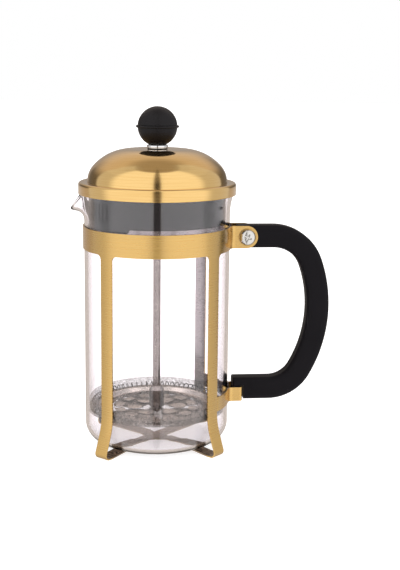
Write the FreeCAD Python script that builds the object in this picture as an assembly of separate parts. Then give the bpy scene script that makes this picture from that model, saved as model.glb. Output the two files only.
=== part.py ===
import FreeCAD, Part
import math
import os

# A coffee press: a glass beaker in a sheet-metal frame with a clamped handle, a domed lid
# with a plastic splash guard, and a plunger with its filter pack pushed fully down.
# Millimetres. +Z is up, the origin is on the table under the axis of the beaker,
# the handle points to +X and the spout to -X.

# ---------------------------------------------------------------- driving dimensions
# Glass beaker
beaker_radius = 43.4        # outside of the straight wall
beaker_height = 154.6       # from its underside to its rim
glass_wall = 2.0
glass_base = 2.5
base_corner = 11.5          # outside radius between base and wall
lip_flare = 2.2             # how far the rim stands outside the wall
lip_height = 12.5           # height over which the wall flares
rim_round = 0.8             # the fire-polished edge of the rim
spout_reach = 7.7           # how far the spout's tip stands outside the wall
spout_drop = 12.0           # how far the spout's tip is below the rim
spout_mouth = 9.0           # half width of the trough where it leaves the wall
spout_tip = 4.6             # half width of the trough at its tip
spout_depth = 8.0           # how far the trough's floor falls from tip to wall

# Sheet-metal frame
frame_sheet = 0.75
collar_height = 13.4
collar_below_rim = 36.5     # collar's lower edge below the glass rim
strap_width = 8.6
strap_corner = 3.0          # inside corner where a leg leaves the collar
foot_spread = 6.4           # how far the feet stand outside the legs
foot_rise = 1.3             # underside of the straps below the glass
foot_flat = 2.3             # length of the level stretch that meets the table
foot_bend = 3.0
leg_kick = 19.5             # height at which a leg starts to lean out
leg_kick_radius = 45.0
ear_length = 15.45           # from the collar's outside to the tip of an ear
ear_bend = 3.0
screw_beyond = 0.4          # the screw's axis beyond the centre of the ear's round end
leg_rise_run = 11.0         # length of the slope from a foot up to the glass
leg_rise_round = 8.0
bracket_height = 8.6
bracket_z = 25.8
bracket_reach = 7.7         # from the legs' outside to the bracket's end wall

# Handle
handle_thickness = 12.5
handle_bar = 13.7           # width of the bar seen from the side
handle_reach = 61.2         # from the glass to the handle's outermost point
handle_back_radius = 79.35  # centre line of the long curved grip
handle_top_bend = 24.65     # centre line of the upper corner
handle_low_bend = 21.75     # centre line of the lower corner
handle_edge = 3.0
handle_back_up = 3.3        # the grip's centre above the middle between the arms
handle_low_z = 33.05         # centre line of the lower arm
handle_top_gap = 4.6        # from the glass to the end of the upper arm
handle_low_gap = 2.9        # from the glass to the end of the lower arm
tongue_slot = 2.4           # width of the slot that the loop's end stands in
slot_beyond = 0.25          # middle of the slot beyond the middle of the loop's sheet
slot_above = 0.9            # top of the slot above the loop

# Clamp screw
screw_radius = 2.0
screw_head_radius = 4.6
screw_head_height = 2.4
washer_rim = 0.5            # how far the washer's raised rim stands outside the head
washer_sheet = 0.6
washer_dish = 0.3
nut_flats = 7.0
nut_height = 3.2
screw_beyond_nut = 1.2
recess_width = 1.1
recess_length = 4.6
recess_depth = 1.3

# Lid
lid_sheet = 0.6
lid_skirt = 7.0             # height of the skirt
lid_ledge = 5.2             # width of the flat ledge outside the dome
dome_height = 19.3          # from the ledge to the top of the dome
dome_shoulder_in = 0.9
dome_shoulder_up = 6.6
lid_corner = 1.5
crown_share = 0.67          # part of the dome's slope that the crown's curve takes
shoulder_share = 0.32       # part of the slope that the shoulder's curve takes
ledge_above = 2.3           # top of the ledge above the underside of the guard's flange

# Splash guard
guard_wall = 1.6
guard_depth = 21.4          # below the underside of its flange
guard_flange_inset = 0.6    # how far the flange stops short of the glass lip
guard_lobe = 2.3            # how much deeper it is on the spout side
guard_lobe_angle = 63.0     # half angle of that deeper part
neck_radius = 5.0
neck_foot_radius = 7.0
neck_below = 0.3            # the neck ends this far below the top of the ring nut
slot_pitch_angle = 4.5
slot_count = 20
slot_width = 1.4
slot_top = 8.0              # below the underside of the flange
slot_bottom = 19.0

# Lid nut, its washer and the sleeve in the neck
lid_nut_radius = 6.2
lid_nut_step = 0.3
lid_nut_height = 1.9
lid_washer_sheet = 0.4
bush_wall = 1.6
bush_length = 16.0

# Plunger
rod_radius = 2.2
knob_radius = 11.7
knob_flat_radius = 5.4
knob_ring_radius = 12.7
knob_ring_height = 1.4
knob_wall = 2.0
insert_radius = 3.4
insert_height = 10.0
insert_above = 1.2          # underside of the insert above the knob's foot
rod_below = 0.8             # the rod stands out below the filter nut
rod_short = 0.5             # the rod ends below the top of the insert
filter_z = 20.1             # underside of the cross plate when fully pressed
cross_sheet = 0.8
cross_inset = 7.6           # the cross plate's edge inside the mesh collar
mesh_sheet = 0.35
mesh_collar = 8.0
mesh_bend = 1.0
plate_sheet = 0.5
plate_lip = 5.0             # level stretch and step of the plate's edge that carries the coil
plate_step = 2.5
plate_step_run = 1.6        # width of the slope between the two levels
plate_bend = 1.2
coil_radius = 2.6           # outside radius of the wound wire's tube
coil_wire = 0.6
hub_radius = 4.45
hub_height = 13.0
hub_cone = 2.4
filter_nut_flats = 9.0
filter_nut_height = 3.0
plate_window_count = 6
plate_window_place = 0.45   # centre of the windows, as a share of hub plus step radius
plate_window_size = 0.36    # radius of a window, as a share of its distance from the axis
plate_hole_count = 40
plate_hole_radius = 0.7
plate_hole_inset = 2.2      # centre of the small holes inside the step
cross_window_count = 4
cross_window_place = 0.55
cross_window_size = 0.5

# Clearances
seat_gap = 0.05             # between pieces that are fastened together
glass_gap = 0.05            # frame to glass
rest_gap = 0.3              # between pieces that only rest on each other
run_gap = 0.05              # round a shaft that turns or slides
lid_gap = 0.4               # lid skirt to glass lip
guard_gap = 0.6             # splash guard to glass
filter_gap = 0.35           # filter to glass
plate_gap = 0.1             # between the discs of the filter pack

# ---------------------------------------------------------------- derived places
strap_radius = beaker_radius + glass_gap + frame_sheet
glass_z = foot_rise + frame_sheet + seat_gap
rim_z = glass_z + beaker_height
lip_radius = beaker_radius + lip_flare
glass_inside = beaker_radius - glass_wall
collar_z = rim_z - collar_below_rim
clamp_z = collar_z + collar_height / 2

cheek_inside = handle_thickness / 2 + seat_gap
cheek_outside = cheek_inside + frame_sheet
ear_tip = strap_radius + ear_length
ear_round = collar_height / 2
screw_x = ear_tip - ear_round + screw_beyond
screw_hole = screw_radius + 0.2
bracket_end = strap_radius + bracket_reach

guard_flange_z = rim_z + rest_gap
ledge_z = guard_flange_z + ledge_above
lid_inside = lip_radius + lid_gap
lid_radius = lid_inside + lid_sheet
guard_top_z = ledge_z - lid_sheet - seat_gap
guard_radius = glass_inside - guard_gap
dome_foot = lid_radius - lid_ledge
dome_top_z = ledge_z + dome_height
bush_radius = rod_radius + run_gap + bush_wall
neck_bore = bush_radius + run_gap
lid_washer_z = dome_top_z + run_gap
lid_nut_z = lid_washer_z + lid_washer_sheet + seat_gap
lid_nut_top = lid_nut_z + lid_nut_height
neck_top = lid_nut_top - neck_below

knob_foot_z = lid_nut_top + rest_gap
knob_z = knob_foot_z + math.sqrt(knob_radius ** 2 - knob_flat_radius ** 2)
insert_z = knob_foot_z + insert_above
mesh_z = filter_z + cross_sheet + plate_gap
plate_z = mesh_z + mesh_sheet + plate_gap
plate_edge_z = plate_z + plate_step
hub_z = plate_z + plate_sheet + seat_gap
mesh_radius = glass_inside - filter_gap
coil_ring = mesh_radius - mesh_sheet - plate_gap - coil_radius
plate_radius = coil_ring - 2 * plate_gap
plate_step_radius = plate_radius - plate_lip
cross_radius = mesh_radius - cross_inset
filter_nut_z = filter_z - filter_nut_height
rod_foot_z = filter_nut_z - rod_below
rod_top_z = insert_z + insert_height - rod_short

# ---------------------------------------------------------------- helpers


def vec(x, y, z):
    return FreeCAD.Vector(x, y, z)


def side(points):
    """Points of an outline in the XZ plane, from (x, z) pairs."""
    return [vec(x, 0, z) for x, z in points]


def corner_arc(before, corner, after, radius):
    """The arc that rounds a corner, as its start, middle and end."""
    back = (before - corner).normalize()
    ahead = (after - corner).normalize()
    half = back.getAngle(ahead) / 2
    start = corner + back * (radius / math.tan(half))
    end = corner + ahead * (radius / math.tan(half))
    inward = (back + ahead).normalize()
    middle = corner + inward * (radius / math.sin(half) - radius)
    return start, middle, end


def path_edges(points, radii):
    """Straight runs through the points, rounded by tangent arcs at the inner ones."""
    edges = []
    at = points[0]
    for number in range(1, len(points) - 1):
        radius = radii[number - 1]
        if radius == 0:
            edges.append(Part.makeLine(at, points[number]))
            at = points[number]
            continue
        start, middle, end = corner_arc(points[number - 1], points[number], points[number + 1], radius)
        if at.distanceToPoint(start) > 1e-6:
            edges.append(Part.makeLine(at, start))
        edges.append(Part.Arc(start, middle, end).toShape())
        at = end
    if at.distanceToPoint(points[-1]) > 1e-6:
        edges.append(Part.makeLine(at, points[-1]))
    return edges


def outline(points, radii):
    """A closed face in the XZ plane whose corners are rounded by the radii, one for each point."""
    count = len(points)
    first = (points[-1] + points[0]) * 0.5
    loop = [first] + points + [first]
    return Part.Face(Part.Wire(path_edges(loop, radii[:count])))


def sheet_outline(points, radii, sheet):
    """A strip of sheet in the XZ plane: the path given, and one to its right by the sheet."""
    normals = []
    for start, end in zip(points, points[1:]):
        along = (end - start).normalize()
        normals.append(vec(along.z, 0, -along.x))
    inner = [points[0] + normals[0] * sheet]
    inner_radii = []
    for number in range(1, len(points) - 1):
        before = normals[number - 1]
        after = normals[number]
        middle = (before + after).normalize()
        inner.append(points[number] + middle * (sheet / middle.dot(before)))
        turn = before.cross(after).y
        radius = radii[number - 1]
        inner_radii.append(max(radius - sheet, 0) if turn > 0 else radius + sheet)
    inner.append(points[-1] + normals[-1] * sheet)
    edges = path_edges(points, radii)
    edges.append(Part.makeLine(points[-1], inner[-1]))
    edges += path_edges(inner[::-1], inner_radii[::-1])
    edges.append(Part.makeLine(inner[0], points[0]))
    return Part.Face(Part.Wire(Part.__sortEdges__(edges)))


def turned(face, angle=360):
    """A solid turned about the Z axis from a face in the XZ plane."""
    return face.revolve(vec(0, 0, 0), vec(0, 0, 1), angle)


def ring(outer, inner, low, high):
    """A plain ring or tube about the Z axis."""
    solid = Part.makeCylinder(outer, high - low, vec(0, 0, low))
    return solid.cut(Part.makeCylinder(inner, high - low + 2, vec(0, 0, low - 1)))


def block(x_range, y_range, z_range):
    size = [high - low for low, high in (x_range, y_range, z_range)]
    return Part.makeBox(size[0], size[1], size[2], vec(x_range[0], y_range[0], z_range[0]))


def spun(shape, angle):
    """A copy turned about the Z axis."""
    return shape.rotated(vec(0, 0, 0), vec(0, 0, 1), angle)


def hexagon(flats, low, high, axis=vec(0, 0, 1)):
    """A hexagonal prism about the given axis through the origin."""
    corner = flats / math.sqrt(3)
    points = [vec(corner * math.cos(math.radians(a)), corner * math.sin(math.radians(a)), low)
              for a in range(0, 361, 60)]
    prism = Part.Face(Part.makePolygon(points)).extrude(vec(0, 0, high - low))
    turn = FreeCAD.Rotation(vec(0, 0, 1), axis)
    return prism.transformed(FreeCAD.Placement(vec(0, 0, 0), turn).toMatrix())


def save(name, shape):
    """Write one node, as clean solids."""
    shape = shape.removeSplitter()
    solids = shape.Solids
    if not solids or not shape.isValid():
        raise RuntimeError(name + " is not a valid solid")
    result = solids[0] if len(solids) == 1 else Part.makeCompound(solids)
    result.exportStep("parts/" + name + ".step")
    print(name, len(solids), "solid(s)", round(result.Volume / 1000, 2), "cm3")


# ---------------------------------------------------------------- glass beaker


def trough(grow):
    """The spout's trough, grown outwards by a wall: a U section that narrows to the tip."""
    sections = []
    wall_x = -(beaker_radius - glass_wall - 4)
    tip_x = -(beaker_radius + spout_reach + 1)
    floor_at_wall = rim_z - spout_drop - spout_depth + glass_wall
    floor_at_tip = rim_z - spout_drop - 1.0
    top = rim_z + 3
    for x, half, floor in ((wall_x, spout_mouth, floor_at_wall), (tip_x, spout_tip, floor_at_tip)):
        width = half + grow
        base = floor - grow
        bend = base + width
        left = Part.makeLine(vec(x, -width, top), vec(x, -width, bend))
        arc = Part.Arc(vec(x, -width, bend), vec(x, 0, base), vec(x, width, bend)).toShape()
        right = Part.makeLine(vec(x, width, bend), vec(x, width, top))
        lid = Part.makeLine(vec(x, width, top), vec(x, -width, top))
        sections.append(Part.Wire([left, arc, right, lid]))
    return Part.makeLoft(sections, True, True)


def beaker():
    """A glass cup with a rounded base, a flared lip and a spout that dips below the lid."""
    inside_corner = base_corner - glass_wall
    flare_z = rim_z - lip_height
    bend = 2 * lip_height / 3
    outer = side([(0, glass_z), (beaker_radius, glass_z), (beaker_radius, flare_z),
                  (lip_radius, rim_z), (lip_radius - glass_wall, rim_z), (glass_inside, flare_z),
                  (glass_inside, glass_z + glass_base), (0, glass_z + glass_base)])
    radii = [0, base_corner, bend, rim_round, rim_round, bend, inside_corner, 0]
    cup = turned(outline(outer, radii))
    shell = trough(glass_wall)
    shell = shell.cut(Part.makeCylinder(glass_inside + 0.5, rim_z * 2))
    tip_x = -(beaker_radius + spout_reach)
    tip_z = rim_z - spout_drop
    top_x = -(lip_radius + 0.1)
    top_z = rim_z + rest_gap - lid_skirt + 1.6
    keep = side([(tip_x, tip_z), (top_x, top_z), (top_x + 6, top_z), (top_x + 6, 0), (tip_x, 0)])
    keep_face = Part.Face(Part.makePolygon(keep + [keep[0]]))
    keep_solid = keep_face.extrude(vec(0, 60, 0)).translated(vec(0, -30, 0))
    shell = shell.common(keep_solid)
    return cup.fuse(shell).cut(trough(0).cut(Part.makeCylinder(glass_inside - 3, rim_z * 2)))


# ---------------------------------------------------------------- frame


def bend_centre(cheek):
    """X of the bend between the round band and a cheek at the given distance from y = 0."""
    return math.sqrt((strap_radius + ear_bend) ** 2 - (cheek + ear_bend) ** 2)


def band_side(mirror, inner):
    """Corner, bend and tangent points of one face of the band where it turns outwards."""
    radius = strap_radius - (frame_sheet if inner else 0)
    bend = ear_bend + (frame_sheet if inner else 0)
    centre = vec(bend_centre(cheek_outside), mirror * (cheek_outside + ear_bend), 0)
    on_circle = centre * (radius / centre.Length)
    flat = vec(centre.x, centre.y - mirror * bend, 0)
    toward = ((on_circle - centre).normalize() + (flat - centre).normalize()).normalize()
    return on_circle, centre + toward * bend, flat


def half_band(mirror, inner, end, start=None):
    """Edges from a point on the round band, round the bend and out along the cheek."""
    on_circle, middle, flat = band_side(mirror, inner)
    edges = [Part.Arc(on_circle, middle, flat).toShape()]
    edges.append(Part.makeLine(flat, vec(end, flat.y, 0)))
    if start is not None:
        radius = strap_radius - (frame_sheet if inner else 0)
        tangent = math.atan2(abs(on_circle.y), on_circle.x)
        points = [vec(radius * math.cos(a), mirror * radius * math.sin(a), 0)
                  for a in (start, (start + tangent) / 2)]
        edges.append(Part.Arc(points[0], points[1], on_circle).toShape())
    return edges


def collar():
    """The band round the glass, whose two ends turn outwards as parallel ears."""
    edges = []
    for inner in (False, True):
        radius = strap_radius - (frame_sheet if inner else 0)
        ends = [band_side(mirror, inner)[0] for mirror in (-1, 1)]
        edges.append(Part.Arc(ends[0], vec(-radius, 0, 0), ends[1]).toShape())
        for mirror in (-1, 1):
            edges += half_band(mirror, inner, ear_tip)
    for mirror in (-1, 1):
        edges.append(Part.makeLine(vec(ear_tip, mirror * cheek_inside, 0),
                                   vec(ear_tip, mirror * cheek_outside, 0)))
    face = Part.Face(Part.Wire(Part.__sortEdges__(edges)))
    band = face.extrude(vec(0, 0, collar_height)).translated(vec(0, 0, collar_z))
    wide = 2 * cheek_outside
    start = vec(ear_tip - ear_round, -wide, clamp_z)
    tip = Part.makeCylinder(ear_round, 2 * wide, start, vec(0, 1, 0))
    body = block((-2 * strap_radius, ear_tip - ear_round), (-60 - strap_radius, 60 + strap_radius),
                 (collar_z, collar_z + collar_height))
    hole = Part.makeCylinder(screw_hole, 2 * wide, vec(screw_x, -wide, clamp_z), vec(0, 1, 0))
    return band.common(body.fuse(tip)).cut(hole)


def legs():
    """Four straps that run down the glass, kick out to a foot and meet under the base."""
    foot = strap_radius + foot_spread
    lean = math.atan2(foot_spread, leg_kick)
    rise_start = foot - foot_bend * math.tan((math.pi / 2 + lean) / 2) - foot_flat
    points = side([(strap_radius, collar_z + 1), (strap_radius, leg_kick), (foot, 0),
                   (rise_start, 0), (rise_start - leg_rise_run, foot_rise), (0, foot_rise)])
    strip = sheet_outline(points, [leg_kick_radius, foot_bend, leg_rise_round, leg_rise_round], frame_sheet)
    bowl = turned(strip)
    half = strap_width / 2
    reach = foot + 5
    bar = block((-reach, reach), (-half, half), (-1, collar_z + 1))
    cross = spun(bar, 45).fuse(spun(bar, -45))
    return bowl.common(cross)


def leg_gussets():
    """The rounded inside corners where each leg leaves the collar."""
    half = strap_width / 2 + strap_corner
    low = collar_z - strap_corner
    band = ring(strap_radius, strap_radius - frame_sheet, low, collar_z + 1)
    piece = band.common(block((0, 2 * strap_radius), (-half, half), (low, collar_z + 1)))
    for y in (-half, half):
        piece = piece.cut(Part.makeCylinder(strap_corner, 2 * strap_radius, vec(0, y, low), vec(1, 0, 0)))
    return [spun(piece, angle) for angle in (45, 135, 225, 315)]


def frame():
    return collar().fuse([legs()] + leg_gussets())


def handle_bracket():
    """A strip between the two legs on the handle side, bent out into a loop."""
    start = math.radians(45) - math.asin((strap_width / 2 + seat_gap) / (strap_radius - frame_sheet))
    edges = []
    for inner in (False, True):
        end = bracket_end - (frame_sheet if inner else 0)
        cheek = cheek_inside if inner else cheek_outside
        for mirror in (-1, 1):
            edges += half_band(mirror, inner, end, start)
        edges.append(Part.makeLine(vec(end, -cheek, 0), vec(end, cheek, 0)))
    for mirror in (-1, 1):
        ends = [vec(radius * math.cos(start), mirror * radius * math.sin(start), 0)
                for radius in (strap_radius, strap_radius - frame_sheet)]
        edges.append(Part.makeLine(ends[0], ends[1]))
    face = Part.Face(Part.Wire(Part.__sortEdges__(edges)))
    loop = face.extrude(vec(0, 0, bracket_height)).translated(vec(0, 0, bracket_z))
    corners = [edge for edge in loop.Edges
               if abs(edge.BoundBox.ZLength - bracket_height) < 1e-6
               and edge.BoundBox.XMin > bracket_end - 0.01]
    return loop.makeFillet(frame_sheet, corners)


# ---------------------------------------------------------------- handle


def handle_outline(grow):
    """Edges of one side of the bar, from the upper arm's end to the lower arm's end."""
    back_x = beaker_radius + handle_reach - handle_bar / 2 - handle_back_radius
    back_z = (clamp_z + handle_low_z) / 2 + handle_back_up
    top_z = clamp_z - handle_top_bend
    low_z = handle_low_z + handle_low_bend
    top_x = back_x + math.sqrt((handle_back_radius - handle_top_bend) ** 2 - (top_z - back_z) ** 2)
    low_x = back_x + math.sqrt((handle_back_radius - handle_low_bend) ** 2 - (low_z - back_z) ** 2)
    rise = math.atan2(top_z - back_z, top_x - back_x)
    fall = math.atan2(low_z - back_z, low_x - back_x)

    def arc(x, z, radius, start, end):
        angles = (start, (start + end) / 2, end)
        points = [vec(x + radius * math.cos(a), 0, z + radius * math.sin(a)) for a in angles]
        return Part.Arc(points[0], points[1], points[2]).toShape(), points[0], points[2]

    upper, upper_start, _ = arc(top_x, top_z, handle_top_bend + grow, math.pi / 2, rise)
    grip, _, _ = arc(back_x, back_z, handle_back_radius + grow, rise, fall)
    lower, _, lower_end = arc(low_x, low_z, handle_low_bend + grow, fall, -math.pi / 2)
    top_end = vec(beaker_radius + handle_top_gap, 0, clamp_z + grow)
    low_end = vec(beaker_radius + handle_low_gap, 0, handle_low_z - grow)
    edges = [Part.makeLine(top_end, upper_start), upper, grip, lower]
    edges.append(Part.makeLine(lower_end, low_end))
    return edges, top_end, low_end


def handle():
    """A moulded D-shaped grip: a round-edged bar, drilled for the screw and slotted for the loop."""
    half_bar = handle_bar / 2
    outer, outer_top, outer_low = handle_outline(half_bar)
    inner, inner_top, inner_low = handle_outline(-half_bar)
    edges = outer + inner
    edges.append(Part.makeLine(outer_top, inner_top))
    edges.append(Part.makeLine(outer_low, inner_low))
    face = Part.Face(Part.Wire(Part.__sortEdges__(edges)))
    half = handle_thickness / 2
    bar = face.extrude(vec(0, handle_thickness, 0)).translated(vec(0, -half, 0))
    ends = (outer_top.x, outer_low.x)
    rims = [edge for edge in bar.Edges if edge.BoundBox.YLength < 1e-6
            and all(abs(edge.BoundBox.XMax - x) > 1e-6 for x in ends)]
    bar = bar.makeFillet(min(handle_edge, half * 0.9), rims)
    slot_x = bracket_end - frame_sheet / 2 + slot_beyond
    slot_z = bracket_z + bracket_height + slot_above
    slot = block((slot_x - tongue_slot / 2, slot_x + tongue_slot / 2), (-half - 1, half + 1), (0, slot_z))
    hole = Part.makeCylinder(screw_hole, 2 * half + 2, vec(screw_x, -half - 1, clamp_z), vec(0, 1, 0))
    return bar.cut(slot).cut(hole)


# ---------------------------------------------------------------- clamp screw


def on_clamp_axis(shape, y):
    """Stand a piece that was made about Z on the screw's axis, its underside at y, facing -Y."""
    turn = FreeCAD.Rotation(vec(0, 0, 1), vec(0, -1, 0))
    return shape.transformed(FreeCAD.Placement(vec(screw_x, y, clamp_z), turn).toMatrix())


def screw_washer():
    """A dished washer under the screw's head."""
    rim = screw_head_radius + washer_rim
    points = side([(screw_hole, 0), (rim - washer_dish, 0), (rim, washer_dish)])
    strip = sheet_outline(points, [0.3], -washer_sheet)
    return on_clamp_axis(turned(strip), -cheek_outside - seat_gap)


def handle_screw():
    """A cross-recessed pan-head screw through both ears and the handle."""
    head_z = washer_sheet + seat_gap
    reach = 2 * cheek_outside + nut_height + screw_beyond_nut
    head = turned(outline(side([(0, head_z), (screw_head_radius, head_z),
                                (screw_head_radius, head_z + screw_head_height),
                                (0, head_z + screw_head_height)]),
                          [0, 0.3, screw_head_height * 0.7, 0]))
    shank = Part.makeCylinder(screw_radius, reach + head_z, vec(0, 0, -reach))
    screw = head.fuse(shank)
    top = head_z + screw_head_height
    half = recess_length / 2
    wide = recess_width / 2
    for x, y in ((half, wide), (wide, half)):
        screw = screw.cut(block((-x, x), (-y, y), (top - recess_depth, top + 1)))
    return on_clamp_axis(screw, -cheek_outside - seat_gap)


def handle_nut():
    """A hexagon nut on the far ear."""
    nut = hexagon(nut_flats, -nut_height, 0)
    nut = nut.cut(Part.makeCylinder(screw_radius + 0.02, nut_height + 2, vec(0, 0, -nut_height - 1)))
    cone = Part.makeCone(nut_flats * 0.5, nut_flats * 0.5 + nut_height * 2, nut_height * 2,
                         vec(0, 0, -nut_height))
    return on_clamp_axis(nut.common(cone), cheek_outside + seat_gap)


# ---------------------------------------------------------------- lid


def lid_dome():
    """A pressed sheet lid: crown, shoulder, ledge and skirt, with a hole for the neck."""
    shoulder = (dome_foot - dome_shoulder_in, ledge_z + dome_shoulder_up)
    slope = (dome_top_z - shoulder[1]) * math.sqrt(2)
    crown_x = shoulder[0] - (dome_top_z - shoulder[1])
    steep = math.atan2(dome_shoulder_up, dome_shoulder_in)
    crown_radius = slope * crown_share / math.tan(math.radians(22.5))
    shoulder_radius = slope * shoulder_share / math.tan((steep - math.radians(45)) / 2)
    shoulder_radius = min(shoulder_radius, 19.0)
    points = side([(neck_radius + 0.2, dome_top_z), (crown_x, dome_top_z), shoulder,
                   (dome_foot, ledge_z), (lid_radius, ledge_z), (lid_radius, ledge_z - lid_skirt)])
    radii = [crown_radius, shoulder_radius * 0.8, 0.3, lid_corner]
    return turned(sheet_outline(points, radii, lid_sheet))


def splash_guard():
    """A plastic cup, mouth down, with a flange on the rim, pour slots and a threaded neck."""
    low = guard_flange_z - guard_depth
    deep = low - guard_lobe
    wall = ring(guard_radius, guard_radius - guard_wall, deep, guard_flange_z + 0.5)
    angle = 180 - guard_lobe_angle
    pie = Part.makeCylinder(2 * guard_radius, guard_lobe, vec(0, 0, deep), vec(0, 0, 1), 2 * angle)
    wall = wall.cut(spun(pie, -angle))
    flange = ring(lip_radius - guard_flange_inset, neck_bore, guard_flange_z, guard_top_z)
    foot = ring(neck_foot_radius, neck_bore, guard_flange_z, dome_top_z - lid_sheet - seat_gap)
    neck = ring(neck_radius, neck_bore, guard_flange_z, neck_top)
    guard = wall.fuse([flange, foot, neck])
    slots = []
    for number in range(slot_count):
        slot = block((guard_radius - 2 * guard_wall, guard_radius + 1), (-slot_width / 2, slot_width / 2),
                     (guard_flange_z - slot_bottom, guard_flange_z - slot_top))
        slots.append(spun(slot, 180 + slot_pitch_angle * (number - (slot_count - 1) / 2)))
    return guard.cut(slots)


def lid_washer():
    return ring(lid_nut_radius - lid_nut_step, neck_radius + run_gap, lid_washer_z,
                lid_washer_z + lid_washer_sheet)


def lid_nut():
    """A low stepped ring nut on the neck."""
    middle = lid_nut_z + lid_nut_height * 0.35
    low = ring(lid_nut_radius - lid_nut_step, neck_radius + run_gap, lid_nut_z, middle)
    top = turned(outline(side([(neck_radius + run_gap, middle), (lid_nut_radius, middle),
                               (lid_nut_radius, lid_nut_top), (neck_radius + run_gap, lid_nut_top)]),
                         [0, 0.2, 0.5, 0]))
    return low.fuse(top)


def guide_bush():
    """A nylon sleeve in the neck that the rod slides through."""
    return ring(bush_radius, rod_radius + run_gap, neck_top - bush_length, neck_top)


# ---------------------------------------------------------------- plunger


def plunger_rod():
    """A steel rod, chamfered at both ends."""
    chamfer = 0.5
    points = side([(0, rod_foot_z), (rod_radius - chamfer, rod_foot_z),
                   (rod_radius, rod_foot_z + chamfer), (rod_radius, rod_top_z - chamfer),
                   (rod_radius - chamfer, rod_top_z), (0, rod_top_z)])
    return turned(Part.Face(Part.makePolygon(points + [points[0]])))


def knob_ball(radius):
    return Part.makeSphere(radius, vec(0, 0, knob_z))


def knob_upper():
    """The upper half of the knob, a moulded cap."""
    seam = knob_z + knob_ring_height / 2
    above = Part.makeCylinder(2 * knob_radius, 2 * knob_radius, vec(0, 0, seam))
    return knob_ball(knob_radius).cut(knob_ball(knob_radius - knob_wall)).common(above)


def knob_lower():
    """The lower half of the knob with its seam ring and the boss for the insert."""
    seam = knob_z + knob_ring_height / 2 - seat_gap
    ball = knob_ball(knob_radius).cut(knob_ball(knob_radius - knob_wall))
    below = Part.makeCylinder(2 * knob_radius, seam - knob_foot_z, vec(0, 0, knob_foot_z))
    shell = ball.common(below)
    rim = ring(knob_ring_radius, knob_radius - knob_wall, seam - knob_ring_height + seat_gap, seam)
    rim_edges = [edge for edge in rim.Edges if edge.BoundBox.XMax > knob_ring_radius - 0.01
                 and edge.BoundBox.ZLength < 1e-6]
    rim = rim.makeFillet(knob_ring_height * 0.3, rim_edges)
    boss = Part.makeCylinder(insert_radius + knob_wall, insert_z + insert_height - 1 - knob_foot_z,
                             vec(0, 0, knob_foot_z))
    bore = Part.makeCylinder(insert_radius + seat_gap, 2 * knob_radius, vec(0, 0, insert_z - seat_gap))
    rod_hole = Part.makeCylinder(rod_radius + 0.2, 2 * knob_radius, vec(0, 0, knob_foot_z - 1))
    return shell.fuse([rim, boss]).cut([bore, rod_hole])


def knob_insert():
    """A threaded metal insert that the rod screws into."""
    return ring(insert_radius, rod_radius + 0.02, insert_z, insert_z + insert_height)


def filter_hub():
    """A round hub on the rod above the plates, with a coned top."""
    bore = rod_radius + 0.02
    top = hub_z + hub_height
    points = side([(bore, hub_z), (hub_radius, hub_z), (hub_radius, top - hub_cone),
                   (bore + 0.5, top), (bore, top)])
    return turned(Part.Face(Part.makePolygon(points + [points[0]])))


def spiral_plate():
    """The disc that carries the coil: windows, two rings of small holes and a stepped edge."""
    points = side([(rod_radius + 0.1, plate_z + plate_sheet), (plate_step_radius, plate_z + plate_sheet),
                   (plate_step_radius + plate_step_run, plate_edge_z + plate_sheet),
                   (plate_radius, plate_edge_z + plate_sheet)])
    plate = turned(sheet_outline(points, [plate_bend, plate_bend], plate_sheet))
    cuts = []
    window_ring = (hub_radius + plate_step_radius) * plate_window_place
    for number in range(plate_window_count):
        angle = 360 / plate_window_count * number
        window = Part.makeCylinder(window_ring * plate_window_size, 4, vec(window_ring, 0, plate_z - 1))
        cuts.append(spun(window, angle))
    for number in range(plate_hole_count):
        hole = Part.makeCylinder(plate_hole_radius, 4, vec(plate_step_radius - plate_hole_inset, 0, plate_z - 1))
        cuts.append(spun(hole, 360 / plate_hole_count * (number + 0.5)))
    return plate.cut(cuts)


def spring_coil():
    """The tube that the coil of wire fills, open towards the plate's edge."""
    centre = vec(coil_ring, 0, plate_edge_z + plate_sheet / 2)
    tube = Part.makeTorus(coil_ring, coil_radius, vec(0, 0, centre.z))
    hollow = Part.makeTorus(coil_ring, coil_radius - coil_wire, vec(0, 0, centre.z))
    half = plate_sheet / 2 + plate_gap
    slit = Part.makeCylinder(coil_ring, 2 * half, vec(0, 0, centre.z - half))
    return tube.cut(hollow).cut(slit)


def mesh_filter():
    """The fine mesh disc, turned up round its edge into a collar that wipes the glass."""
    points = side([(rod_radius + 0.1, mesh_z), (mesh_radius, mesh_z), (mesh_radius, mesh_z + mesh_collar)])
    return turned(sheet_outline(points, [mesh_bend], -mesh_sheet))


def cross_plate():
    """The stiff lower disc with four windows."""
    plate = ring(cross_radius, rod_radius + 0.1, filter_z, filter_z + cross_sheet)
    window_ring = cross_radius * cross_window_place
    cuts = []
    for number in range(cross_window_count):
        window = Part.makeCylinder(window_ring * cross_window_size, 4, vec(window_ring, 0, filter_z - 1))
        cuts.append(spun(window, 360 / cross_window_count * number))
    return plate.cut(cuts)


def filter_nut():
    """The nut that clamps the filter pack to the rod."""
    nut = hexagon(filter_nut_flats, filter_nut_z, filter_z - seat_gap)
    return nut.cut(Part.makeCylinder(rod_radius + 0.02, 20, vec(0, 0, filter_nut_z - 5)))


# ---------------------------------------------------------------- write the nodes

os.makedirs("parts", exist_ok=True)

for make in (beaker, frame, handle_bracket, handle, handle_screw, screw_washer, handle_nut,
             lid_dome, splash_guard, lid_washer, lid_nut, guide_bush,
             plunger_rod, knob_upper, knob_lower, knob_insert,
             filter_hub, spiral_plate, spring_coil, mesh_filter, cross_plate, filter_nut):
    save(make.__name__, make())
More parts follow.
